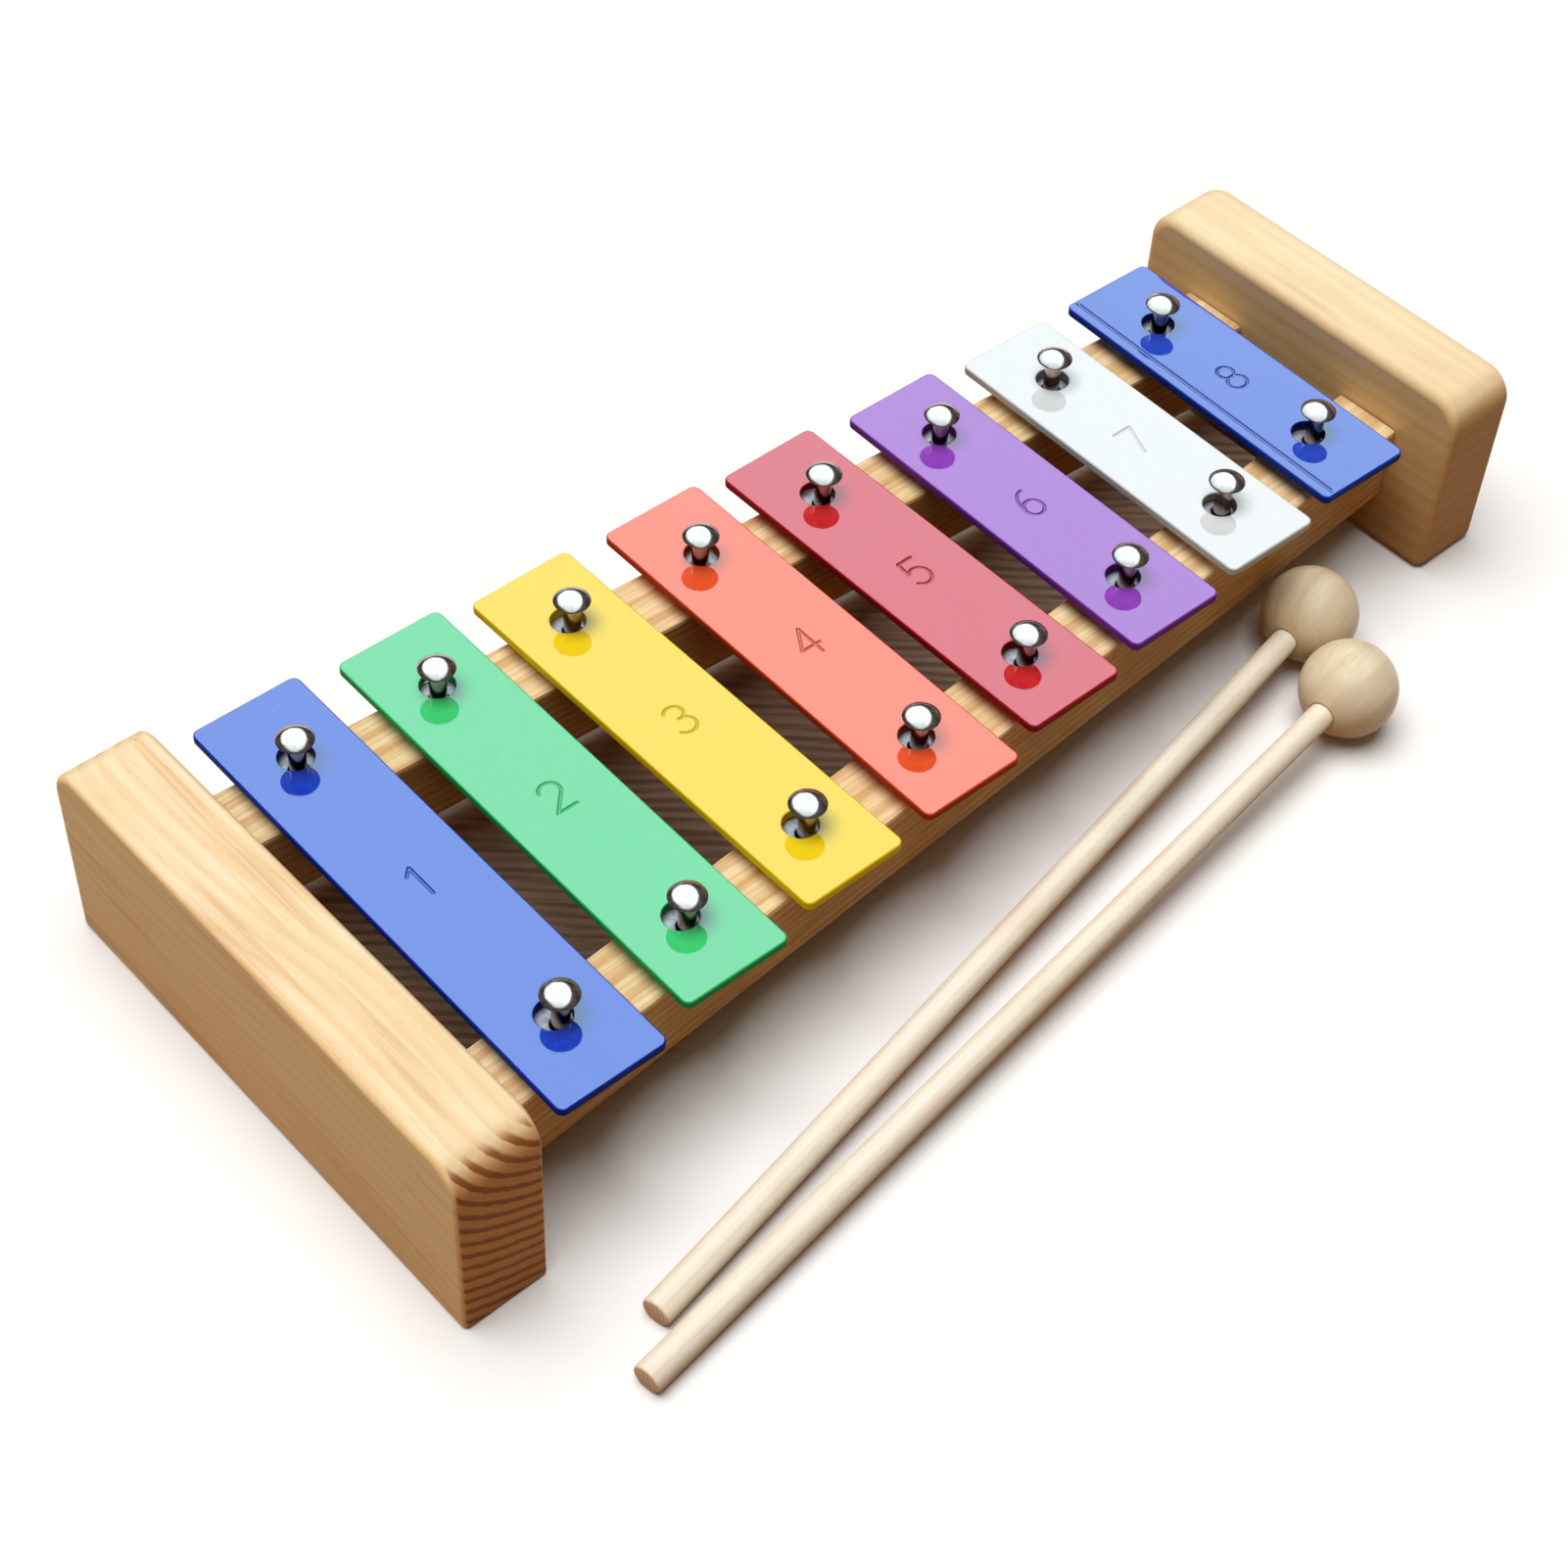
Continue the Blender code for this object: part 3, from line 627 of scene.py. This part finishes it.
pinSettings = {"headRadius": 0.00362, "drop": 0.00012, "dome": 0.00140, "rim": 0.00020, "rimRound": 0.00010,
               "rimShare": 0.6, "under": 0.00062, "neckRadius": 0.00200, "neckRound": (0.0006, 0.00045),
               "neckDrop": 0.0002, "shankRadius": 0.00170, "flare": 0.0016, "point": 0.0012,
               "domePoints": 16, "steps": 44}
washerSettings = {"radius": 0.0050, "bore": 0.0020, "edge": 0.0004, "boreEdge": 0.00025, "steps": 40,
                  "turn": 0.8, "frontTurn": 0.3}
barCount = len(enamels)


def pinOutline(half):
    # heights are counted from the middle of the pin
    want = pinSettings
    top = half - want["drop"]
    rim = top - want["dome"]
    head, soft = want["headRadius"], want["rimRound"]
    crown = head - soft * want["rimShare"]  # the shallow dome ends where the rounded rim takes over
    ball = (crown ** 2 + want["dome"] ** 2) / (2 * want["dome"])
    reach = math.degrees(math.asin(crown / ball))
    points = arcPoints((0, top - ball), (ball, ball), 90, 90 - reach, want["domePoints"])
    points[0] = (0, top)
    points += arcPoints((head - soft, rim - soft), (soft, soft), 90 - reach, 0, 5)[1:]
    low = rim - want["rim"]
    points += [(head, low + soft)] + arcPoints((head - soft, low + soft), (soft, soft), -20, -90, 3)
    neck = low - want["under"]
    fillet = want["neckRound"]
    points += arcPoints((want["neckRadius"] + fillet[0], neck - want["neckDrop"]), fillet, 90, 180, 5)
    points += [(want["shankRadius"], neck - want["flare"]), (want["shankRadius"], want["point"] - half)]
    return points + [(0, -half)]


def washerOutline(half):
    want = washerSettings
    edge, bore = want["edge"], want["boreEdge"]
    points = arcPoints((want["radius"] - edge, half - edge), (edge, edge), 90, 0, 4)
    points += arcPoints((want["radius"] - edge, -half + edge), (edge, edge), 0, -90, 4)
    points += arcPoints((want["bore"] + bore, -half + bore), (bore, bore), 270, 180, 3)
    points += arcPoints((want["bore"] + bore, half - bore), (bore, bore), 180, 90, 3)
    return points


def makeTurned(kind, side, number, outline, want, closed=False):
    node = "%s_%s_%d" % (side, kind, number)
    low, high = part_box(node)
    mesh = turnedMesh(kind, outline((high.z - low.z) / 2), want["steps"], closed)
    piece = newPiece("%s%s%d" % (side, kind.title(), number), mesh, nickelMaterials[kind], (low + high) / 2)
    return dress(piece, node, "frame")


for pinSide, extraTurn in (("front", washerSettings["frontTurn"]), ("back", 0)):
    for pinNumber in range(1, barCount + 1):
        makeTurned("pin", pinSide, pinNumber, pinOutline, pinSettings)
        ring = makeTurned("washer", pinSide, pinNumber, washerOutline, washerSettings, closed=True)
        ring.rotation_euler.z = pinNumber * washerSettings["turn"] + extraTurn
print("pins and washers ready")


# Tone bars

barSettings = {
    "corner": 0.0016, "cornerSteps": 8, "edge": 0.00050, "edgeSteps": 5, "sideSteps": 8,
    "holeRadius": 0.00340, "holeSides": 64, "holeEdgeShare": 0.6, "mouthShare": 0.998,
    "turnTries": 250, "turnStep": 0.0002,
}
numberSettings = {"width": 0.0044, "height": 0.0072, "flat": 0.00004, "outer": 0.00044, "depth": 0.00034,
                  "lip": 0.00002, "lipWidth": 0.00025, "arcPoints": 15, "patch": (0.0060, 0.0088),
                  "patchCells": (52, 76)}
lineSettings = {"inset": 0.0026, "halfWidth": 0.00065, "depth": 0.00042, "cells": (12, 150), "ease": 0.0008,
                "endShare": 1.02}


def barPose(node):
    # the plate's centre and turn: the turn at which it measures narrowest
    want = barSettings
    corners = cornersOf(node)
    best = None
    for step in range(-want["turnTries"], want["turnTries"] + 1):
        turn = step * want["turnStep"]
        across = corners[:, 0] * math.cos(turn) + corners[:, 1] * math.sin(turn)
        if best is None or np.ptp(across) < best[0]:
            best = (np.ptp(across), turn, across)
    width, turn, across = best
    along = corners[:, 1] * math.cos(turn) - corners[:, 0] * math.sin(turn)
    middle = ((across.min() + across.max()) / 2, (along.min() + along.max()) / 2)
    centre = Vector((middle[0] * math.cos(turn) - middle[1] * math.sin(turn),
                     middle[0] * math.sin(turn) + middle[1] * math.cos(turn),
                     (corners[:, 2].min() + corners[:, 2].max()) / 2))
    return centre, turn, (width, np.ptp(along), np.ptp(corners[:, 2]))


def ellipse(centre, radii, startDeg, endDeg):
    return arcPoints(centre, radii, startDeg, endDeg, numberSettings["arcPoints"])


def numberStrokes(number):
    # strokes in shares of the number's width and height
    return [
        [[(0.18, 0.78), (0.54, 1.0), (0.54, 0)]],
        [ellipse((0.50, 0.72), (0.48, 0.28), 165, -35) + [(0.03, 0.0), (1.0, 0)]],
        [ellipse((0.46, 0.755), (0.44, 0.245), 150, -90), ellipse((0.46, 0.27), (0.50, 0.27), 90, -150)],
        [[(0.74, 0), (0.74, 1.0)], [(0.72, 0.98), (0.0, 0.30), (1.0, 0.30)]],
        [[(0.92, 1.0), (0.15, 1.0), (0.10, 0.56)], ellipse((0.47, 0.32), (0.50, 0.32), 140, -145)],
        [ellipse((0.50, 0.30), (0.47, 0.30), 90, 450), ellipse((0.75, 0.35), (0.71, 0.65), 178, 90)],
        [[(0.02, 1.0), (0.98, 1.0), (0.36, 0)]],
        [ellipse((0.50, 0.755), (0.41, 0.245), 90, 450), ellipse((0.50, 0.27), (0.50, 0.27), 90, 450)],
    ][number - 1]


def strokeDistance(points, number):
    # how far each point lies from the nearest stroke
    want = numberSettings
    nearest = np.full(len(points), 1.0)
    for stroke in numberStrokes(number):
        path = np.array([((x - 0.5) * want["width"], (y - 0.5) * want["height"]) for x, y in stroke])
        for start, end in zip(path, path[1:]):
            span = end - start
            share = np.clip(((points - start) @ span) / max(span @ span, 1e-12), 0, 1)
            gaps = points - (start + share[:, None] * span)
            nearest = np.minimum(nearest, np.hypot(gaps[:, 0], gaps[:, 1]))
    return nearest


def numberHeight(number):
    want = numberSettings

    def height(points):
        distance = strokeDistance(points, number)
        share = np.clip((want["outer"] - distance) / (want["outer"] - want["flat"]), 0, 1)
        sunk = share * share * (3 - 2 * share)
        raised = np.exp(-((distance - want["outer"] - want["lipWidth"] / 2) / (want["lipWidth"] / 2)) ** 2)
        return raised * want["lip"] - sunk * want["depth"]
    return height


def lineHeight(middle, halfLength):
    want = lineSettings

    def height(points):
        across = np.clip(1 - ((points[:, 0] - middle) / want["halfWidth"]) ** 2, 0, 1)
        ends = np.clip((halfLength - np.abs(points[:, 1])) / want["ease"], 0, 1)
        return -want["depth"] * across ** 2 * ends * ends * (3 - 2 * ends)
    return height


class PlateShape:
    # gathers corners, their shading directions and the faces of one plate

    def __init__(self):
        self.corners = []
        self.directions = []
        self.faces = []
        self.sides = []

    def addRim(self, spokes, radius, outward, profile):
        # rings up one rim, on spokes of (x, y, cosine, sine), with outward at -1 round a hole
        rim = []
        for inset, height, out, up in profile:
            reach = radius - outward * inset
            first = len(self.corners)
            self.corners += [(x + reach * c, y + reach * s, height) for x, y, c, s in spokes]
            self.directions += [Vector((outward * c * out, outward * s * out, up)) for _, _, c, s in spokes]
            rim.append(list(range(first, len(self.corners))))
        return rim

    def bridge(self, lower, upper, isSide):
        count = len(lower)
        if isSide:
            self.sides += range(len(self.faces), len(self.faces) + count)
        self.faces += [(lower[i], lower[(i + 1) % count], upper[(i + 1) % count], upper[i])
                       for i in range(count)]

    def fillFlat(self, rings, isOpen):
        # triangles between the rings, except where an opening or a patch is
        ids = [index for ring in rings for index in ring]
        zoom = 1000  # the triangles are worked out in millimetres
        flat = [Vector(self.corners[index][:2]) * zoom for index in ids]
        edges = []
        first = 0
        for ring in rings:
            edges += [(first + i, first + (i + 1) % len(ring)) for i in range(len(ring))]
            first += len(ring)
        _, _, triangles, source, _, _ = delaunay_2d_cdt(flat, edges, [], 0, 1e-7)
        for triangle in triangles:
            sources = [source[index][0] for index in triangle]
            middle = sum((flat[index] for index in sources), Vector((0, 0))) / (3 * zoom)
            if not isOpen(middle):
                self.faces.append(tuple(ids[index] for index in sources))

    def addPatch(self, low, high, cells, level, height):
        # a fine grid whose heights come from a function, with its outline returned as a ring
        columns, rows = cells[0] + 1, cells[1] + 1
        across, along = np.meshgrid(np.linspace(low[0], high[0], columns), np.linspace(low[1], high[1], rows))
        points = np.stack([across.ravel(), along.ravel()], 1)
        small = 0.00002
        slopeX = (height(points + (small, 0)) - height(points - (small, 0))) / (2 * small)
        slopeY = (height(points + (0, small)) - height(points - (0, small))) / (2 * small)
        first = len(self.corners)
        self.corners += [(x, y, level + z) for (x, y), z in zip(points, height(points))]
        self.directions += [Vector((-a, -b, 1)).normalized() for a, b in zip(slopeX, slopeY)]
        grid = np.arange(first, first + columns * rows).reshape(rows, columns)
        cells = np.stack([grid[:-1, :-1], grid[:-1, 1:], grid[1:, 1:], grid[1:, :-1]], -1)
        self.faces += [tuple(int(index) for index in cell) for cell in cells.reshape(-1, 4)]
        ring = [*grid[0, :-1], *grid[:-1, -1], *grid[-1, :0:-1], *grid[:0:-1, 0]]
        return [int(index) for index in ring]

    def asMesh(self, name):
        mesh = bpy.data.meshes.new(name)
        mesh.from_pydata(self.corners, [], self.faces)
        work = bmesh.new()
        work.from_mesh(mesh)
        bmesh.ops.recalc_face_normals(work, faces=work.faces)
        work.to_mesh(mesh)
        work.free()
        mesh.shade_smooth()
        for index in self.sides:
            mesh.polygons[index].material_index = 1
        mesh.normals_split_custom_set_from_vertices(self.directions)
        return mesh


def edgeProfile(half, edge, steps):
    # (inset, height, outward share, upward share) from the underside's rim to the top's rim
    turns = [math.pi / 2 * i / steps for i in range(steps + 1)]
    top = [(edge * (1 - math.cos(turn)), half - edge + edge * math.sin(turn), math.cos(turn), math.sin(turn))
           for turn in turns]
    return [(inset, -height, out, -up) for inset, height, out, up in reversed(top)] + top


def makeBar(number, node):
    want = barSettings
    centre, turn, size = barPose(node)
    half = Vector(size) / 2
    reach = abs(middleOf("front_pin_%d" % number).y)
    shape = PlateShape()
    corners = []
    for sideX, sideY, start in ((1, 1, 0), (-1, 1, 90), (-1, -1, 180), (1, -1, 270)):
        for step in range(want["cornerSteps"] + 1):
            bend = math.radians(start + 90 * step / want["cornerSteps"])
            corners.append((sideX * (half.x - want["corner"]), sideY * (half.y - want["corner"]),
                            math.cos(bend), math.sin(bend)))
    rims = [shape.addRim(corners, want["corner"], 1, edgeProfile(half.z, want["edge"], want["edgeSteps"]))]
    turns = [math.tau * i / want["holeSides"] for i in range(want["holeSides"])]
    holeEdge = want["edge"] * want["holeEdgeShare"]
    for side in (-1, 1):
        spokes = [(0, side * reach, math.cos(bend), math.sin(bend)) for bend in turns]
        profile = edgeProfile(half.z, holeEdge, want["edgeSteps"])
        rims.append(shape.addRim(spokes, want["holeRadius"], -1, profile))
    for rings in rims:
        for step, (lower, upper) in enumerate(zip(rings, rings[1:])):
            shape.bridge(lower, upper, isSide=step <= want["sideSteps"])
    patchHalf = Vector(numberSettings["patch"]) / 2
    boxes = [(-patchHalf, patchHalf)]
    patches = [shape.addPatch(-patchHalf, patchHalf, numberSettings["patchCells"], half.z,
                              numberHeight(number))]
    if number == barCount:
        line = lineSettings
        middle = -half.x + line["inset"]
        reachY = half.y - want["edge"] * line["endShare"]
        box = (Vector((middle - line["halfWidth"], -reachY)), Vector((middle + line["halfWidth"], reachY)))
        boxes.append(box)
        patches.append(shape.addPatch(*box, line["cells"], half.z, lineHeight(middle, reachY)))

    def inHole(point):
        mouth = (want["holeRadius"] + holeEdge) * want["mouthShare"]
        return any((point - Vector((0, side * reach))).length < mouth for side in (-1, 1))

    def inPatch(point):
        return any(low.x < point.x < high.x and low.y < point.y < high.y for low, high in boxes)

    shape.fillFlat([rings[-1] for rings in rims] + patches, lambda point: inHole(point) or inPatch(point))
    shape.fillFlat([rings[0] for rings in rims], inHole)
    bar = newPiece("bar%d" % number, shape.asMesh(node), enamelMaterials[node], centre)
    bar.data.materials.append(sideMaterials[node])
    bar.rotation_euler.z = turn
    dress(bar, node, "bar_%d" % number)


for barNumber, barNode in enumerate(enamels, 1):
    makeBar(barNumber, barNode)
print("tone bars ready")


# Mallets

malletSettings = {"ballRadius": 0.0100, "mouthFlat": 0.0031, "bore": 0.00275, "boreDepth": 0.0120,
                  "mouthEdge": 0.0003, "ballPoints": 36, "ballSteps": 64, "stickSteps": 40,
                  "stickEdge": 0.0005, "neckRadius": 0.00268, "taperSteps": 8, "taperPower": 0.8}


def malletLine(number):
    # from the frame: the ball's middle, the way from tail to ball, the stick's two ends and its radius
    stick, ball = (cornersOf("mallet_%d_%s" % (number, part)) for part in ("stick", "ball"))
    _, _, directions = np.linalg.svd(stick - stick.mean(0))
    axis = directions[0] * np.sign(directions[0][0])
    ends = (stick.min(0) + stick.max(0)) / 2
    start = ends + axis * ((ball @ axis).max() - malletSettings["ballRadius"] - ends @ axis)
    reach = (stick - start) @ axis
    radius = np.linalg.norm(stick - start - np.outer(reach, axis), axis=1).max()
    return Vector(start), Vector(axis), float(reach.min()), float(reach.max()), float(radius)


def makeMallet(number, wood):
    want = malletSettings
    centre, axis, tail, tip, radius = malletLine(number)
    outside, bore, edge = want["ballRadius"], want["bore"], want["mouthEdge"]
    mouth = -math.sqrt(outside ** 2 - want["mouthFlat"] ** 2)
    deep = mouth + want["boreDepth"]
    lastDeg = math.degrees(math.asin(mouth / outside))
    outline = arcPoints((0, 0), (outside, outside), 90, lastDeg, want["ballPoints"])
    outline[0] = (0, outside)
    outline += [(bore + edge, mouth), (bore, mouth + edge), (bore, deep), (0, deep)]
    ball = newPiece("mallet%dBall" % number, turnedMesh("ball", outline, want["ballSteps"]),
                    woodMaterials[wood], centre)
    soft = want["stickEdge"]
    neck = want["neckRadius"]  # the sticks taper a little towards the ball
    outline = [(0, tip)] + arcPoints((neck - soft, tip - soft), (soft, soft), 90, 0, 4)
    for step in range(want["taperSteps"]):
        share = step / want["taperSteps"]
        outline.append((neck + (radius - neck) * share ** want["taperPower"],
                        mouth + (tail + soft - mouth) * share))
    outline += arcPoints((radius - soft, tail + soft), (soft, soft), 0, -90, 4) + [(0, tail)]
    stick = newPiece("mallet%dStick" % number, turnedMesh("stick", outline, want["stickSteps"]),
                     woodMaterials["stick"], centre)
    for piece, node, slot in ((ball, "ball", "ball_wood"), (stick, "stick", "stick_wood")):
        piece.rotation_mode = "QUATERNION"
        piece.rotation_quaternion = axis.to_track_quat("Z", "Y")
        dress(piece, "mallet_%d_%s" % (number, node), "mallet_%d" % number)


makeMallet(1, "ballTanShaded")
makeMallet(2, "ballPale")
print("mallets ready")


# Floor, light and camera

stageSettings = {"floorSize": 8.0, "seenFloor": (1.0, 1.0, 1.0), "bounceFloor": (0.30, 0.13, 0.035),
                 "groundShadeLight": (0.52, 0.36, 0.265), "groundShadeDark": (0.28, 0.18, 0.13),
                 "underSoft": 0.005, "grainTurn": math.radians(42), "grainStep": 0.0026}
lightSettings = {
    "sunFrom": (-0.13, 0.10, 0.98), "sunLevel": 0.94, "sunAngleDeg": 50,
    "fill": (1.0, 0.80, 0.52), "fillLevel": 0.10,
    "mirrorLow": (0.060, 0.063, 0.066), "mirrorMiddle": (0.20, 0.21, 0.22),
    "mirrorAbove": (0.20, 0.23, 0.24), "aboveStart": 0.35, "aboveFull": 0.9,
    "mirrorHigh": (1.75, 2.5, 3.0), "mirrorStart": 0.50, "mirrorFull": 0.60,
    "mirrorLean": (0.132, 0.316, 0.940), "mirrorSide": (-0.923, 0.384, 0.0), "mirrorNarrow": 0.40,
    "mirrorPatches": 3.2, "mirrorBreakup": 0.14,
}
cameraSettings = {"location": (-0.15422, -0.27322, 0.43444), "turnDeg": (41.310, -2.281, -41.973),
                  "lens": 67.63, "sensor": 36.0}


def seenRays(tree):
    # one for camera, mirror and glass rays, zero for rays that only carry light
    rays = addNode(tree, "ShaderNodeLightPath")
    seen = sums(tree, "MAXIMUM", rays.outputs["Is Camera Ray"], rays.outputs["Is Glossy Ray"])
    return rays, sums(tree, "MAXIMUM", seen, rays.outputs["Is Transmission Ray"])


def makeFloor():
    bpy.ops.mesh.primitive_plane_add(size=stageSettings["floorSize"])
    floor = bpy.context.active_object
    floor.name = "floor"
    material, tree, shader, place = newMaterial("paleFloor")
    want = stageSettings
    _, seen = seenRays(tree)
    # painted shade: the ground between the rails is dark and wood-streaked, as the gaps between the bars show
    split = splitAxes(tree, place["Object"])
    first, last = middleOf("back_pin_1"), middleOf("back_pin_%d" % barCount)
    slope = (last.y - first.y) / (last.x - first.x)
    railLine = timesPlus(tree, split["X"], slope, first.y - first.x * slope)
    outward = sums(tree, "SUBTRACT", sums(tree, "ABSOLUTE", split["Y"]), railLine)
    soft = want["underSoft"]
    railGapShade = ramp(tree, outward, -soft, soft, 1.0, 0.0)
    for node, reach in (("low_end_block", soft), ("high_end_block", -soft)):
        wall = middleOf(node).x
        railGapShade = times(tree, railGapShade, ramp(tree, split["X"], wall - reach, wall + reach))
    turned = addNode(tree, "ShaderNodeVectorRotate", settings={"rotation_type": "Z_AXIS"},
                     values={"Angle": want["grainTurn"]})
    feed(tree, turned.inputs["Vector"], place["Object"])
    bands = addNode(tree, "ShaderNodeTexWave", settings={"bands_direction": "Y"},
                    values={"Scale": math.pi / 10 / want["grainStep"], "Distortion": 7.0, "Detail": 3.0,
                            "Detail Scale": 0.3})
    feed(tree, bands.inputs["Vector"], turned.outputs[0])
    streaks = stretchedNoise(tree, turned.outputs[0], (24, 700, 1), 2.5, 0.6)
    streaks = timesPlus(tree, bands.outputs["Fac"], 0.24, streaks)
    under = blend(tree, ramp(tree, streaks, 0.38, 0.80), want["groundShadeDark"], want["groundShadeLight"])
    pale = blend(tree, railGapShade, want["seenFloor"], under)
    feed(tree, shader.inputs["Base Color"], blend(tree, seen, want["bounceFloor"], pale))
    shader.inputs["Roughness"].default_value = 1.0
    shader.inputs["Specular IOR Level"].default_value = 0.0
    floor.data.materials.append(material)


def makeSky():
    want = lightSettings
    world = bpy.data.worlds.new("studio")
    world.use_nodes = True
    scene.world = world
    tree = world.node_tree
    tree.nodes.clear()
    output = addNode(tree, "ShaderNodeOutputWorld")
    back = addNode(tree, "ShaderNodeBackground")
    tree.links.new(back.outputs[0], output.inputs[0])
    rays, seen = seenRays(tree)
    # what the enamel mirrors isn't passed on to the wood beside it
    seen = times(tree, seen, sums(tree, "LESS_THAN", rays.outputs["Diffuse Depth"], 0.5))
    direction = addNode(tree, "ShaderNodeTexCoord").outputs["Generated"]
    uneven = noise(tree, direction, want["mirrorPatches"])
    lean = vectors(tree, "DOT_PRODUCT", direction, want["mirrorLean"])
    aside = vectors(tree, "DOT_PRODUCT", direction, want["mirrorSide"])
    lean = timesPlus(tree, times(tree, aside, aside), -want["mirrorNarrow"], lean)
    lean = timesPlus(tree, sums(tree, "SUBTRACT", uneven, 0.5), want["mirrorBreakup"], lean)
    height = ramp(tree, lean, want["mirrorStart"], want["mirrorFull"])
    patches = ramp(tree, uneven, 0.35, 0.65)
    low = blend(tree, patches, want["mirrorLow"], want["mirrorMiddle"])
    above = ramp(tree, splitAxes(tree, direction)["Z"], want["aboveStart"], want["aboveFull"])
    low = blend(tree, above, low, want["mirrorAbove"])
    mirrored = blend(tree, height, low, want["mirrorHigh"])
    dim = [part * want["fillLevel"] for part in want["fill"]]
    lit = blend(tree, seen, dim, mirrored)
    feed(tree, back.inputs["Color"], blend(tree, rays.outputs["Is Camera Ray"], lit, (1, 1, 1)))


def makeSun():
    want = lightSettings
    lamp = bpy.data.lights.new("softSun", "SUN")
    towards = Vector(want["sunFrom"]).normalized()
    lamp.energy = math.pi * want["sunLevel"] / towards.z
    lamp.angle = math.radians(want["sunAngleDeg"])
    sun = bpy.data.objects.new("softSun", lamp)
    sun.visible_glossy = False  # the sky alone gives the reflections
    sun.rotation_mode = "QUATERNION"
    sun.rotation_quaternion = (-towards).to_track_quat("-Z", "Y")
    scene.collection.objects.link(sun)


def makeCamera():
    want = cameraSettings
    lens = bpy.data.cameras.new("camera")
    lens.lens = want["lens"]
    lens.sensor_width = want["sensor"]
    lens.clip_start, lens.clip_end = 0.01, 50.0
    camera = bpy.data.objects.new("camera", lens)
    camera.location = want["location"]
    camera.rotation_euler = [math.radians(turn) for turn in want["turnDeg"]]
    scene.collection.objects.link(camera)
    scene.camera = camera


makeFloor()
makeSky()
makeSun()
makeCamera()
scene.view_settings.view_transform = "Standard"
print("floor, light and camera ready")
